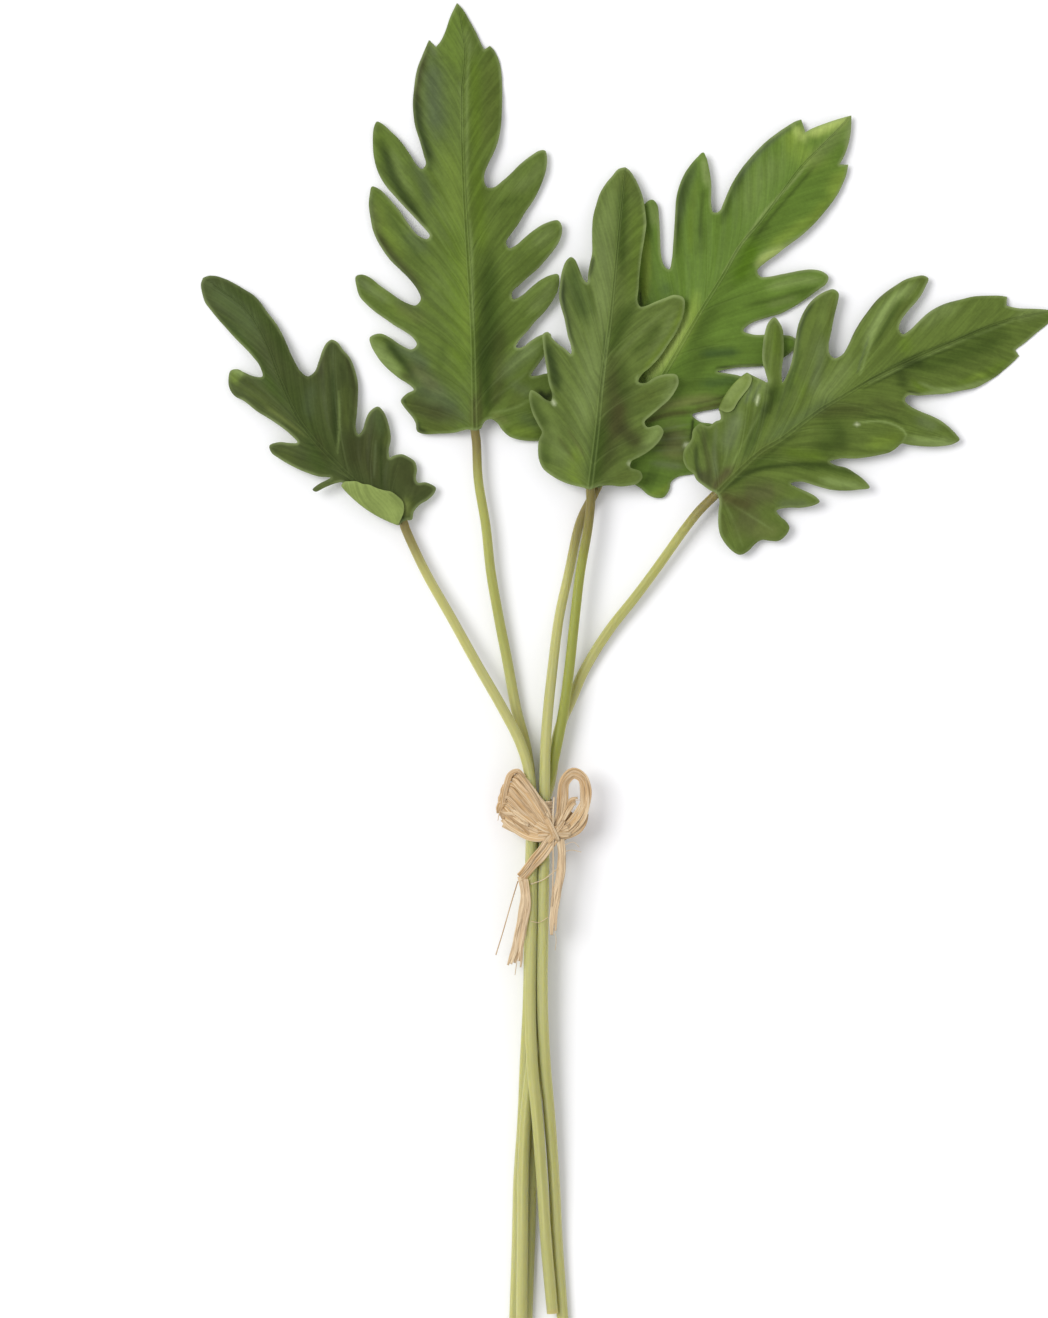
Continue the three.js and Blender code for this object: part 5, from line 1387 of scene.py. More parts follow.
def bundle(shape, settings, seed):
    """Strands of raffia side by side, each with its own sway."""
    count, width, lean, taper, tone, points = shape
    thickness = settings.thickness / MM
    line = smooth_line(with_height(points), settings.ribbon_step / MM)
    side = unit(np.cross(np.gradient(line, axis=0), [0, 0, 1]))
    run = run_along(line)
    draw = np.random.default_rng(seed)
    own = width if count == 1 else width / count * STRAND_OVERLAP
    parts = []
    for k in range(count):
        place = (k / max(1, count - 1) - 0.5) * (width - own)
        phase = draw.uniform(0, math.tau, 3)
        sway = settings.sway / MM * (np.sin(run * 0.22 + phase[0]) + 0.5 * np.sin(run * 0.55 + phase[1]))
        lift = 0.22 * np.sin(run * 0.3 + phase[2]) + draw.uniform(-0.15, 0.25)
        strand = line + side * (place + sway)[:, None]
        strand[:, 2] += lift
        end = int(len(strand) * draw.uniform(0.9, 1)) if taper[1] < 1 else len(strand)
        tilt = tuple(a + draw.uniform(-14, 14) for a in lean)
        made = ribbon(strand[:end], own * draw.uniform(0.8, 1.15), tilt, thickness, seed * 7 + k, taper)
        parts.append((*made, tone + draw.uniform(-0.2, 0.2)))
    return parts


def fine_fibre(line, radius, tone, seed):
    points, faces, fibre = round_tube(line, np.full(len(line), radius), 5, seed=seed)
    return points, faces, fibre * [0.2, 0.2, 1] + [0, seed * FIBRE_SHIFT, 0], tone


def stray_fibres(settings):
    """Fibres that part from the bundles a little way."""
    draw = np.random.default_rng(91)
    parts = []
    for k in range(settings.strays):
        line = smooth_line(with_height(BUNDLES[k % len(BUNDLES)][5]), settings.ribbon_step / MM)
        first = int(draw.uniform(0.1, 0.6) * len(line))
        piece = line[first:first + int(draw.uniform(8, 22))]
        if len(piece) < 6:
            continue
        away = np.linspace(0, 1, len(piece)) ** 1.6 * draw.uniform(-2.2, 2.2) + draw.uniform(-1.2, 1.2)
        side = unit(np.cross(np.gradient(piece, axis=0), [0, 0, 1]))
        piece = piece + side * away[:, None]
        piece[:, 2] += 0.7 + draw.uniform(0, 0.6)
        parts.append(fine_fibre(piece, settings.fibre_radius / MM, draw.uniform(0.3, 1), 200 + k))
    return parts


def strip(line, across, face, half, v, offsets, seed):
    """A strip along a line: points, faces, and each point's place in the fibre.

    The strip runs across by half its width on either side, at the places v from -1 to 1. Its
    upper and lower faces stand off the line by the two offsets.
    """
    count = len(v)
    run = run_along(line)
    points = []
    fibre = []
    for sign, offset in zip((1, -1), offsets):
        aside = v * half[:, None]
        place = line[:, None] + across[:, None] * aside[..., None] + face[:, None] * offset[..., None]
        points.append(place.reshape(-1, 3))
        mark = np.zeros((len(line), count, 3))
        mark[..., 0] = aside
        mark[..., 1] = sign * 0.3 + seed * FIBRE_SHIFT
        mark[..., 2] = run[:, None]
        fibre.append(mark.reshape(-1, 3))
    faces = []
    n = len(line) * count
    for i in range(len(line) - 1):
        for k in range(count - 1):
            a = i * count + k
            b = a + count
            faces.append((a, b, b + 1, a + 1))
            faces.append((n + a, n + a + 1, n + b + 1, n + b))
        a = i * count
        b = a + count
        faces.append((a, n + a, n + b, b))
        faces.append((b - 1, b + count - 1, n + b + count - 1, n + b - 1))
    return np.concatenate(points), faces, np.concatenate(fibre)


def ribbon(line, width, lean, thickness, seed, taper):
    """A strip of raffia along a line in mm, creased lengthwise. Its ends may be narrower."""
    v = np.linspace(-1, 1, RIBBON_POINTS)
    ahead = unit(np.gradient(line, axis=0))
    flat = unit(np.cross(ahead, [0, 0, 1]))
    up = np.cross(flat, ahead)
    run = run_along(line)
    t = run / run[-1]
    turn = np.radians(np.interp(t, np.linspace(0, 1, len(lean)), lean))
    across = flat * np.cos(turn)[:, None] - up * np.sin(turn)[:, None]
    phase = np.random.default_rng(seed).uniform(0, math.tau, 4)
    size = width * (taper[0] + (1 - taper[0]) * ease(0, 0.22, t))
    size = size * (taper[1] + (1 - taper[1]) * ease(0, 0.22, 1 - t))
    size *= 1 + 0.07 * np.sin(run * 0.35 + phase[0])
    crease = (
        0.13 * np.sin(5.5 * v + phase[1] + 0.05 * run[:, None])
        + 0.08 * np.sin(11 * v + phase[2] - 0.04 * run[:, None])
        + RIBBON_CURL * (v ** 2 - 0.4) * np.sin(run[:, None] * 0.12 + phase[3]) * 2
    )
    offsets = [crease + sign * thickness / 2 * (1 - 0.6 * v ** 4) for sign in (1, -1)]
    points, faces, fibre = strip(line, across, np.cross(across, ahead), size / 2, v, offsets, seed)
    n = len(points) // 2
    for first in (0, n - RIBBON_POINTS):
        row = list(range(first, first + RIBBON_POINTS))
        end = tuple(row + [n + r for r in row][::-1])
        faces.append(end if first == 0 else end[::-1])
    return points, faces, fibre


def joined(parts):
    """Several meshes put into one list of points, faces, fibre places and a tone for each part."""
    points, faces, fibre, tone = zip(*parts)
    counts = [len(part) for part in points]
    starts = np.cumsum([0] + counts).tolist()
    moved = [tuple(i + start for i in face) for part, start in zip(faces, starts) for face in part]
    return np.concatenate(points), moved, np.concatenate(fibre), np.repeat(tone, counts)


def band_line(y0, y1, grow):
    """A line wound round the stalks where they are tied."""
    high = WRAP["top"] - WRAP["corner"]
    low = WRAP["bottom"] + WRAP["corner"]
    wide = WRAP["half_width"] - WRAP["corner"]
    r = WRAP["corner"] + grow
    ring = []
    for c, (sx, sz) in enumerate(((1, 1), (-1, 1), (-1, -1), (1, -1))):
        for k in range(7):
            a = math.pi / 2 * (c + k / 6)
            ring.append((sx * wide + math.cos(a) * r, (high if sz > 0 else low) + math.sin(a) * r))
    ring = np.array(ring + ring[:1])
    run = run_along(ring)
    s = np.linspace(WRAP["start"], WRAP["start"] + WRAP["turns"], int(70 * WRAP["turns"]) + 1)
    at = (s % 1) * run[-1]
    x = np.interp(at, run, ring[:, 0]) + plan([(WRAP["x"], 0)])[0, 0]
    z = np.interp(at, run, ring[:, 1])
    y = y0 + (y1 - y0) * np.linspace(0, 1, len(s))
    return np.column_stack([x, y, z])


def band(y0, y1, grow, thickness, seed):
    """A strip wound round the stalks, flat against them."""
    line = band_line(y0, y1, grow)
    v = np.linspace(-1, 1, BAND_POINTS)
    centre = np.array([plan([(WRAP["x"], 0)])[0, 0], 0, (WRAP["top"] + WRAP["bottom"]) / 2])
    out = unit(np.cross(unit(np.gradient(line, axis=0)), [0, 1, 0]))
    outwards = (line - centre) * [1, 0, 1]
    out = out * np.sign((out * outwards).sum(1))[:, None]
    run = run_along(line)
    phase = np.random.default_rng(seed).uniform(0, math.tau, 3)
    crease = 0.1 * np.sin(6 * v + phase[0] + 0.08 * run[:, None]) + 0.06 * np.sin(13 * v + phase[1])
    offsets = [crease * (0.5 + 0.5 * sign) + sign * thickness / 2 for sign in (1, -1)]
    across = np.tile([0.0, 1.0, 0.0], (len(line), 1))
    half = np.full(len(line), BAND_STRIP_WIDTH / 2)
    points, faces, fibre = strip(line, across, out, half, v, offsets, seed)
    return points, [f[:1] + f[:0:-1] for f in faces], fibre


def raffia_piece(name, parts, settings):
    points, faces, fibre, tone = joined(parts)
    points[:, 2] = np.maximum(points[:, 2], FLOOR_GAP)
    made = mesh_object(name, points, faces, {"fibre": fibre, "strand_tone": tone})
    made.data.materials.append(material("raffia_surface", raffia_surface, settings))
    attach(made, "root")
    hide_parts("raffia_tie")


# Materials.


def node(tree, kind, **values):
    made = tree.nodes.new(kind)
    for key, value in values.items():
        setattr(made, key, value)
    return made


def fill(target, value):
    """Give an input a link from another node's output, a colour or a number."""
    if isinstance(value, bpy.types.NodeSocket):
        target.id_data.links.new(value, target)
    elif np.ndim(value):
        target.default_value = (*[float(v) for v in value], 1)
    else:
        target.default_value = value


def calc(what, a, b=None, clamp=False):
    """A Math node on an output and, if it takes two, a number or another output."""
    made = node(a.id_data, "ShaderNodeMath", operation=what, use_clamp=clamp)
    fill(made.inputs[0], a)
    if b is not None:
        fill(made.inputs[1], b)
    return made.outputs[0]


def remap(value, *limits):
    """Takes a value from between the first two limits to between the last two, softly."""
    made = node(value.id_data, "ShaderNodeMapRange", interpolation_type="SMOOTHSTEP")
    for target, part in zip(made.inputs, (value, *limits)):
        fill(target, part)
    return made.outputs["Result"]


def blend_colour(tree, factor, a, b, mode="MIX"):
    made = node(tree, "ShaderNodeMix", data_type="RGBA", blend_type=mode)
    for key, value in ((0, factor), (6, a), (7, b)):
        fill(made.inputs[key], value)
    return made.outputs[2]


def attribute(tree, name, output="Fac"):
    return node(tree, "ShaderNodeAttribute", attribute_name=name).outputs[output]


def noise(place, scale, detail, roughness=0.5, dimensions="3D"):
    made = node(place.id_data, "ShaderNodeTexNoise", noise_dimensions=dimensions)
    for key, value in (("Vector", place), ("Scale", scale), ("Detail", detail), ("Roughness", roughness)):
        fill(made.inputs[key], value)
    return made.outputs["Fac"]


def bump(height, distance, strength):
    made = node(height.id_data, "ShaderNodeBump")
    for key, value in (("Height", height), ("Distance", distance), ("Strength", strength)):
        fill(made.inputs[key], value)
    return made.outputs["Normal"]


def arrange(tree):
    """Put the nodes in columns, each to the right of the nodes that feed it."""
    feeds = {made.name: [] for made in tree.nodes}
    for link in tree.links:
        feeds[link.to_node.name].append(link.from_node.name)

    def column(name):
        return max((column(other) + 1 for other in feeds[name]), default=0)

    filled = {}
    for made in tree.nodes:
        at = column(made.name)
        filled[at] = filled.get(at, 0) + 1
        made.location = (at * NODE_COLUMN, -filled[at] * NODE_ROW)


def soft_mottle(given):
    """Soft uneven light and dark over a surface."""
    clouds = calc("SUBTRACT", noise(given["Vector"], given["Scale"], 4), 0.5)
    return [calc("ADD", calc("MULTIPLY", clouds, given["Amount"]), 1.0)]


def lengthwise_fibre(given):
    """Fine lengthwise fibres from a place in the fibre: across, side and along, in mm."""
    tree = given["Place"].id_data
    split = node(tree, "ShaderNodeSeparateXYZ")
    fill(split.inputs[0], given["Place"])
    join = node(tree, "ShaderNodeCombineXYZ")
    for value, how, target in zip(split.outputs, ("Fineness", "Fineness", "Stretch"), join.inputs):
        fill(target, calc("MULTIPLY", value, given[how]))
    fibres = noise(join.outputs[0], 1.0, 3)
    return [remap(fibres, 0.3, 0.7, 0, 1), fibres]


def vein_stripes(row, slow, detail, roughness=0.5):
    """A mask of stripes: it changes fast with the first value and slowly with the second."""
    join = node(row.id_data, "ShaderNodeCombineXYZ")
    fill(join.inputs[0], row)
    fill(join.inputs[1], slow)
    return remap(noise(join.outputs[0], 1.0, detail, roughness, "2D"), 0.3, 0.7, 0, 1)


def leaf_veining(given):
    """The veins of a blade: midrib, lobe veins, and the fine stripes between them."""
    rib = calc("ABSOLUTE", given["Rib"])
    groove = remap(rib, 0.15, 0.55, 1, 0)
    edge = calc("SUBTRACT", remap(rib, 0.7, 1.25, 1, 0), groove, clamp=True)
    vein = calc("MULTIPLY", remap(given["Vein"], 0.25, 1.0, 1, 0), remap(given["Fade"], 0.1, 1.0, 1, 0.15))
    row = calc("DIVIDE", given["Grain"], given["Pitch"])
    stripe = vein_stripes(row, calc("MULTIPLY", given["Rib"], 0.04), 2)
    wide_row = calc("MULTIPLY", given["Grain"], 0.3)
    streak = vein_stripes(wide_row, calc("MULTIPLY", given["Rib"], 0.06), 3, 0.6)
    lift = calc("ADD", calc("MULTIPLY", stripe, 0.14), edge)
    lift = calc("SUBTRACT", lift, calc("MULTIPLY", vein, 0.7))
    return [groove, edge, vein, stripe, streak, lift]


# Each group's inputs, with what they hold when nothing is put in, and its outputs in order.
GROUPS = {
    soft_mottle: ({"Vector": (0, 0, 0), "Scale": 60.0, "Amount": 0.2}, ["Value"]),
    lengthwise_fibre: ({"Place": (0, 0, 0), "Fineness": 3.0, "Stretch": 0.05}, ["Streak", "Height"]),
    leaf_veining: (
        {"Rib": 0.0, "Vein": 0.0, "Fade": 0.0, "Grain": 0.0, "Pitch": 1.3},
        ["Groove", "Rib Edge", "Lobe Vein", "Stripe", "Streak", "Height"],
    ),
}


def group(build):
    """The node group that a function builds, made when it is first asked for."""
    known = bpy.data.node_groups.get(build.__name__)
    if known:
        return known
    tree = bpy.data.node_groups.new(build.__name__, "ShaderNodeTree")
    inputs, outputs = GROUPS[build]
    for key, default in inputs.items():
        kind = "NodeSocketVector" if np.ndim(default) else "NodeSocketFloat"
        tree.interface.new_socket(key, in_out="INPUT", socket_type=kind).default_value = default
    for key in outputs:
        tree.interface.new_socket(key, in_out="OUTPUT", socket_type="NodeSocketFloat")
    results = build(node(tree, "NodeGroupInput").outputs)
    for target, value in zip(node(tree, "NodeGroupOutput").inputs, results):
        fill(target, value)
    arrange(tree)
    return tree


def use_group(tree, build, **values):
    """A group placed in a tree, with its inputs filled. Gives its outputs."""
    made = node(tree, "ShaderNodeGroup", node_tree=group(build))
    for key, value in values.items():
        fill(made.inputs[key], value)
    return made.outputs


def mottle(tree, scale, amount):
    place = node(tree, "ShaderNodeTexCoord").outputs["Object"]
    return use_group(tree, soft_mottle, Vector=place, Scale=scale, Amount=amount)["Value"]


def material(name, build, *details):
    """A material by name, built when it is first asked for."""
    made = bpy.data.materials.get(name)
    if made is None:
        made = bpy.data.materials.new(name)
        made.use_nodes = True
        build(made.node_tree, made.node_tree.nodes["Principled BSDF"].inputs, *details)
        arrange(made.node_tree)
    return made


def leaf_surface(tree, shader, leaf, settings):
    """Painted tones with veins, mottling, a pale patchy margin and a plainer underside."""
    rib, vein, fade, grain, margin, below = [
        attribute(tree, key) for key in ("rib", "vein", "fade", "grain", "margin", "underside")
    ]
    pitch = settings.stripe_pitch / MM
    veins = use_group(tree, leaf_veining, Rib=rib, Vein=vein, Fade=fade, Grain=grain, Pitch=pitch)
    vein_tone, rim_tone, below_tone = [
        linear(settings.get_colour(key)) * PAINT_GAIN for key in ("vein", "rim", "underside")
    ]
    clouds = mottle(tree, 90.0, 0.3)
    depth = settings.stripe_depth
    shade = calc("MULTIPLY", remap(veins["Stripe"], 0, 1, 1 - depth, 1 + depth), clouds)
    shade = calc("MULTIPLY", shade, mottle(tree, 800.0, 0.3))
    depth = leaf.get("streak", STREAK_DEPTH)
    shade = calc("MULTIPLY", shade, remap(veins["Streak"], 0, 1, 1 - depth, 1 + depth))
    grey = node(tree, "ShaderNodeCombineColor")
    for target in grey.inputs[:3]:
        fill(target, shade)
    colour = blend_colour(tree, 1.0, attribute(tree, "tint", "Color"), grey.outputs[0], "MULTIPLY")
    for key, strength, tone in (
        ("Lobe Vein", leaf.get("lobe_vein", 0.14), vein_tone),
        ("Rib Edge", leaf.get("rib_edge", 0.3), vein_tone),
        ("Groove", 0.25, linear(PALETTE["dark"]) * PAINT_GAIN),
    ):
        colour = blend_colour(tree, calc("MULTIPLY", veins[key], strength), colour, tone)
    near_edge = remap(margin, 0.1, 1.7, 0.62, 0)
    rim = calc("MULTIPLY", near_edge, remap(mottle(tree, 45.0, 2.0), 0.7, 1.3, 0.25, 1))
    colour = blend_colour(tree, rim, colour, rim_tone)
    below_colour = blend_colour(tree, 1.0, grey.outputs[0], below_tone, "MULTIPLY")
    fill(shader["Base Color"], blend_colour(tree, below, colour, below_colour))
    fill(shader["Roughness"], remap(clouds, 0.85, 1.15, 0.5, 0.38))
    shader["Specular IOR Level"].default_value = 0.06
    fill(shader["Normal"], bump(veins["Height"], 0.0004, 0.6))


def stalk_surface(tree, shader, settings):
    """Pale green with fibres, olive and brown towards the blade, and dry at the cut end."""
    place = attribute(tree, "fibre", "Vector")
    fine = use_group(tree, lengthwise_fibre, Place=place, Fineness=3.2, Stretch=0.02)
    broad = use_group(tree, lengthwise_fibre, Place=place, Fineness=1.1, Stretch=0.012)
    green, deep, olive, brown = [
        linear(settings.get_colour(key)) for key in ("stalk", "stalk_dark", "stalk_olive", "stalk_top")
    ]
    colour = blend_colour(tree, fine["Streak"], green, green * 0.86)
    for mask, tone in (
        (calc("MULTIPLY", broad["Streak"], 0.45), deep),
        (attribute(tree, "olive"), olive),
        (calc("MULTIPLY", attribute(tree, "near_leaf"), 0.85), brown),
        (calc("MULTIPLY", attribute(tree, "cut_end"), 0.6), linear(CUT_END_TONE)),
    ):
        colour = blend_colour(tree, mask, colour, tone)
    fill(shader["Base Color"], colour)
    fill(shader["Roughness"], remap(fine["Streak"], 0, 1, 0.38, 0.52))
    shader["Specular IOR Level"].default_value = 0.2
    shader["Subsurface Weight"].default_value = 1
    shader["Subsurface Radius"].default_value = (1, 0.85, 0.35)
    shader["Subsurface Scale"].default_value = 0.006
    fill(shader["Normal"], bump(fine["Height"], 0.0002, 0.35))


def raffia_surface(tree, shader, settings):
    """Straw with long fibres, its tone from brown to pale by strand."""
    place = attribute(tree, "fibre", "Vector")
    fine = use_group(tree, lengthwise_fibre, Place=place, Fineness=4.5, Stretch=0.05)
    broad = use_group(tree, lengthwise_fibre, Place=place, Fineness=1.3, Stretch=0.09)
    straw, light, deep = [
        linear(settings.get_colour(key)) for key in ("raffia", "raffia_light", "raffia_dark")
    ]
    colour = blend_colour(tree, broad["Streak"], straw, light)
    strand = attribute(tree, "strand_tone")
    for mask, tone in (
        (remap(strand, 0.5, 1, 0, 0.7), light),
        (remap(strand, 0, 0.4, 0.4, 0), deep),
        (remap(fine["Streak"], 0.1, 0.7, 0.55, 0), deep),
    ):
        colour = blend_colour(tree, mask, colour, tone)
    fill(shader["Base Color"], colour)
    fill(shader["Roughness"], remap(fine["Streak"], 0, 1, 0.62, 0.5))
    shader["Specular IOR Level"].default_value = 0.15
    fill(shader["Normal"], bump(fine["Height"], 0.0004, 0.7))


def pale_floor(tree, shader, settings):
    """Nearly even pale tone."""
    clouds = mottle(tree, 3.0, 0.01)
    tone = node(tree, "ShaderNodeCombineColor")
    for target, part in zip(tone.inputs, settings.floor_colour):
        fill(target, calc("MULTIPLY", clouds, float(part)))
    fill(shader["Base Color"], tone.outputs[0])
    shader["Roughness"].default_value = 0.9
    shader["Specular IOR Level"].default_value = 0.1


# What a user may change.


def colour_property(name, description, bytes_):
    return bpy.props.FloatVectorProperty(
        name=name, description=description, subtype="COLOR_GAMMA", size=3, min=0, max=1,
        default=tuple(v / 255 for v in bytes_),
    )


def number_property(name, description, default, **limits):
    return bpy.props.FloatProperty(name=name, description=description, default=default, **limits)


def length_property(name, description, default, **limits):
    return number_property(
        name, description, default, subtype="DISTANCE", unit="LENGTH", precision=5, **limits,
    )


class Picked:
    """Gives a colour property of a group as bytes by its short name."""

    def get_colour(self, name):
        return tuple(255 * v for v in getattr(self, name + "_colour"))


class LeafSettings(bpy.types.PropertyGroup, Picked):
    mesh_step: length_property("Mesh step", "Length of a triangle's side inside a blade", 0.00085, min=0.0006)
    thickness: length_property("Thickness", "Thickness of a blade between its veins", 0.0005, min=0.0002)
    wave_height: length_property("Wave height", "Height of the blade's gentle unevenness", 0.00022, min=0)
    margin_roll: length_property("Margin roll", "How far the margin turns down", 0.0004, min=0)
    stripe_pitch: length_property("Stripe pitch", "Distance between the fine veins", 0.0013, min=0.0003)
    stripe_depth: number_property(
        "Stripe depth", "How much the fine veins change the tone", 0.035, min=0, max=1, subtype="FACTOR",
    )
    leaf_1_colour: colour_property("Leaf 1", "Green of the small left leaf", (75, 85, 49))
    leaf_2_colour: colour_property("Leaf 2", "Green of the tallest leaf", (97, 115, 54))
    leaf_3_colour: colour_property("Leaf 3", "Green of the middle leaf", (99, 115, 59))
    leaf_4_colour: colour_property("Leaf 4", "Green of the back leaf", (100, 126, 54))
    leaf_5_colour: colour_property("Leaf 5", "Green of the right leaf", (98, 115, 55))
    vein_colour: colour_property("Vein", "Colour of the veins", (132, 150, 90))
    rim_colour: colour_property("Rim", "Colour of the thin margin", (154, 168, 120))
    underside_colour: colour_property("Underside", "Colour of the lower face", (152, 168, 100))


class StalkSettings(bpy.types.PropertyGroup, Picked):
    ring_step: length_property("Ring step", "Distance between the rings of a stalk", 0.0025, min=0.0005)
    sides: bpy.props.IntProperty(name="Sides", description="Points round a stalk", default=22, min=8, max=64)
    stalk_colour: colour_property("Stalk", "Pale green of the stalks", (185, 185, 130))
    stalk_dark_colour: colour_property("Streak", "Deeper green of the streaks", (160, 160, 88))
    stalk_top_colour: colour_property("Upper end", "Brownish tone near the blade", (116, 104, 64))
    stalk_olive_colour: colour_property("Olive", "Darker green of some stalks' upper parts", (146, 152, 76))


class RaffiaSettings(bpy.types.PropertyGroup, Picked):
    ribbon_step: length_property("Ribbon step", "Length of a facet along a strip", 0.0009, min=0.0003)
    thickness: length_property("Thickness", "Thickness of a strip", 0.0003, min=0.0001)
    sway: length_property("Sway", "How far a strand leaves its line", 0.00022, min=0)
    fibre_radius: length_property("Fibre radius", "Radius of a stray fibre", 0.00009, min=0.00005)
    strays: bpy.props.IntProperty(
        name="Stray fibres", description="Fine fibres that stand off", default=26, min=0,
    )
    raffia_colour: colour_property("Raffia", "Straw tone", (204, 168, 118))
    raffia_light_colour: colour_property("Light fibre", "Pale fibres", (230, 210, 176))
    raffia_dark_colour: colour_property("Crease", "Tone in the creases", (150, 114, 74))


class StageSettings(bpy.types.PropertyGroup):
    lens: number_property("Lens", "Focal length of the camera in mm", 200, min=35, max=400)
    view_height: length_property("View height", "Height of the surface that the picture takes in", 0.5537)
    key_strength: number_property("Key light", "Strength of the soft light from the upper left", 1.7, min=0)
    key_softness: number_property(
        "Key softness", "How wide the light looks from the bunch", math.radians(32),
        min=0, max=math.pi, subtype="ANGLE", unit="ROTATION",
    )
    sky: number_property("Fill", "Strength of the even light all round", 0.72, min=0)
    floor_colour: bpy.props.FloatVectorProperty(
        name="Floor", description="Tone of the surface below", subtype="COLOR", size=3, min=0, max=1,
        default=(0.95, 0.95, 0.955),
    )


# Operators.


def fields():
    """Each leaf's name, shape and height field. Leaves 3 and 5 lie on the leaves below them."""
    f2 = height_field(LEAF_2, [])
    f4 = height_field(LEAF_4, [])
    on_leaf_4 = support(LEAF_4, f4)
    return [
        ("leaf_1", LEAF_1, height_field(LEAF_1, [])),
        ("leaf_2", LEAF_2, f2),
        ("leaf_3", LEAF_3, height_field(LEAF_3, [support(LEAF_2, f2), on_leaf_4])),
        ("leaf_4", LEAF_4, f4),
        ("leaf_5", LEAF_5, height_field(LEAF_5, [on_leaf_4])),
    ]


class LEAFBUNCH_OT_blades(bpy.types.Operator):
    """Make the five leaf blades"""
    bl_idname = "leafbunch.blades"
    bl_label = "Leaf blades"

    def execute(self, context):
        for name, leaf, field in fields():
            blade(name, leaf, field, context.scene.leafbunch_leaf)
        return {"FINISHED"}


class LEAFBUNCH_OT_stalks(bpy.types.Operator):
    """Make the five stalks"""
    bl_idname = "leafbunch.stalks"
    bl_label = "Stalks"

    def execute(self, context):
        for name, leaf, field in fields():
            stalk(name, leaf, field, context.scene.leafbunch_stalk)
        return {"FINISHED"}


class LEAFBUNCH_OT_tie(bpy.types.Operator):
    """Make the raffia band, knot, bow and tails"""
    bl_idname = "leafbunch.tie"
    bl_label = "Raffia tie"

    def execute(self, context):
        settings = context.scene.leafbunch_raffia
        thick = settings.thickness / MM
        front = plan([(0, WRAP["to"])])[0, 1]
        back = plan([(0, WRAP["from"])])[0, 1]
        parts = []
        for k, slant in enumerate(BAND_SLANTS):
            at = front + (back - front) * (k + 0.5) / len(BAND_SLANTS)
            parts.append((*band(at - slant, at + slant, 0.22 + 0.17 * (k % 2), thick, 40 + k), 0.75))
        raffia_piece("raffia_band", parts, settings)
        parts = []
        for k, shape in enumerate(BUNDLES):
            parts += bundle(shape, settings, 50 + k)
        for k, (radius, tone, points) in enumerate(FIBRES):
            line = smooth_line(with_height(points), settings.ribbon_step / MM)
            parts.append(fine_fibre(line, radius, tone, 120 + k))
        raffia_piece("raffia_bow", parts + stray_fibres(settings), settings)
        parts = []
        for k, shape in enumerate(KNOT_BUNDLES):
            parts += bundle(shape, settings, 80 + k)
        raffia_piece("raffia_knot", parts, settings)
        return {"FINISHED"}


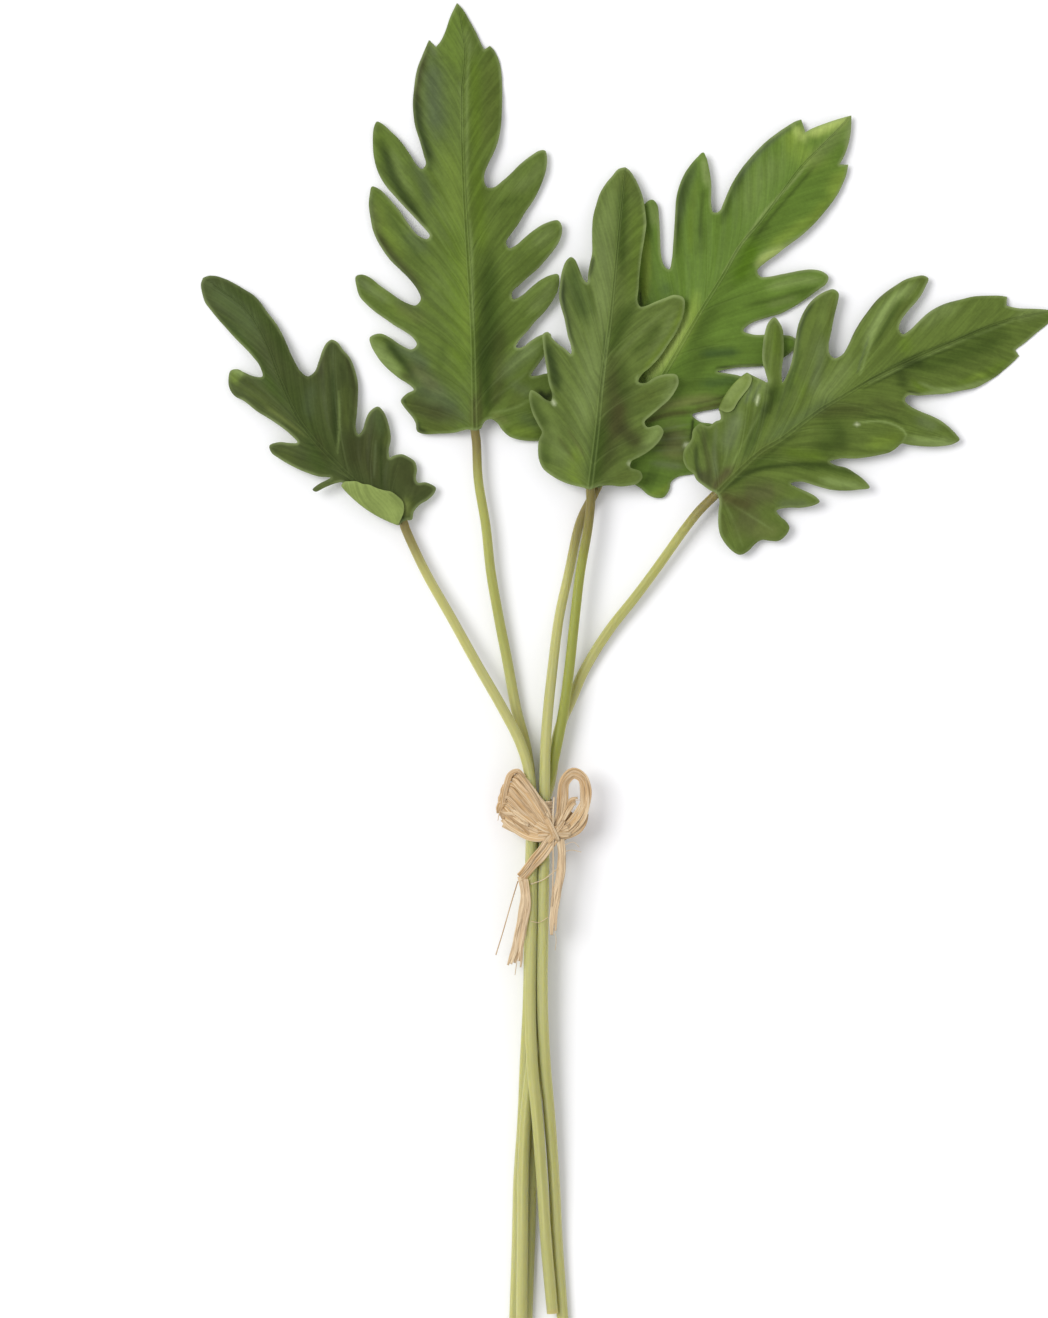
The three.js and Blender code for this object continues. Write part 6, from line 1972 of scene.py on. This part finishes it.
class LEAFBUNCH_OT_stage(bpy.types.Operator):
    """Make the floor, the lights and the camera"""
    bl_idname = "leafbunch.stage"
    bl_label = "Stage"

    def execute(self, context):
        settings = context.scene.leafbunch_stage
        scene = context.scene
        mesh = bpy.data.meshes.new("floor")
        corners = [(x * FLOOR_HALF, y * FLOOR_HALF, 0) for x, y in ((-1, -1), (1, -1), (1, 1), (-1, 1))]
        mesh.from_pydata(corners, [], [(0, 1, 2, 3)])
        floor = bpy.data.objects.new("floor", mesh)
        floor.location.z = -FLOOR_DROP
        floor.data.materials.append(material("pale_floor", pale_floor, settings))
        scene.collection.objects.link(floor)

        key = bpy.data.lights.new("key_light", "SUN")
        key.angle = settings.key_softness
        key.energy = settings.key_strength
        holder = bpy.data.objects.new("key_light", key)
        holder.location = KEY_PLACE
        holder.rotation_euler = (-Vector(KEY_PLACE)).to_track_quat("-Z", "Y").to_euler()
        scene.collection.objects.link(holder)

        world = bpy.data.worlds.new("studio")
        world.use_nodes = True
        sky = world.node_tree.nodes["Background"]
        sky.inputs["Color"].default_value = SKY_TONE
        sky.inputs["Strength"].default_value = settings.sky
        scene.world = world
        scene.view_settings.view_transform = "Standard"

        camera = bpy.data.cameras.new("camera")
        camera.lens = settings.lens
        camera.sensor_width = SENSOR_WIDTH
        camera.clip_end = 20
        holder = bpy.data.objects.new("camera", camera)
        x, y = plan([PICTURE_CENTRE])[0] * MM
        holder.location = (x, y, settings.view_height * settings.lens / SENSOR_WIDTH)
        scene.collection.objects.link(holder)
        scene.camera = holder
        return {"FINISHED"}


class LEAFBUNCH_PT_panel(bpy.types.Panel):
    """Lists the pieces of the bunch and their sizes and colours"""
    bl_idname = "LEAFBUNCH_PT_panel"
    bl_label = "Leaf Bunch"
    bl_space_type = "VIEW_3D"
    bl_region_type = "UI"
    bl_category = "Leaf Bunch"

    def draw(self, context):
        for operator, settings in (
            (LEAFBUNCH_OT_blades, context.scene.leafbunch_leaf),
            (LEAFBUNCH_OT_stalks, context.scene.leafbunch_stalk),
            (LEAFBUNCH_OT_tie, context.scene.leafbunch_raffia),
            (LEAFBUNCH_OT_stage, context.scene.leafbunch_stage),
        ):
            box = self.layout.box()
            box.operator(operator.bl_idname)
            for key in settings.__annotations__:
                box.prop(settings, key)


SETTINGS = (
    ("leafbunch_leaf", LeafSettings),
    ("leafbunch_stalk", StalkSettings),
    ("leafbunch_raffia", RaffiaSettings),
    ("leafbunch_stage", StageSettings),
)
CLASSES = tuple(kind for _, kind in SETTINGS) + (
    LEAFBUNCH_OT_blades,
    LEAFBUNCH_OT_stalks,
    LEAFBUNCH_OT_tie,
    LEAFBUNCH_OT_stage,
    LEAFBUNCH_PT_panel,
)


def register():
    for kind in CLASSES:
        bpy.utils.register_class(kind)
    for name, kind in SETTINGS:
        setattr(bpy.types.Scene, name, bpy.props.PointerProperty(type=kind))


def unregister():
    for name, _ in SETTINGS:
        delattr(bpy.types.Scene, name)
    for kind in reversed(CLASSES):
        bpy.utils.unregister_class(kind)


def main():
    register()
    bpy.ops.leafbunch.blades()
    bpy.ops.leafbunch.stalks()
    bpy.ops.leafbunch.tie()
    bpy.ops.leafbunch.stage()


if __name__ == "__main__":
    main()
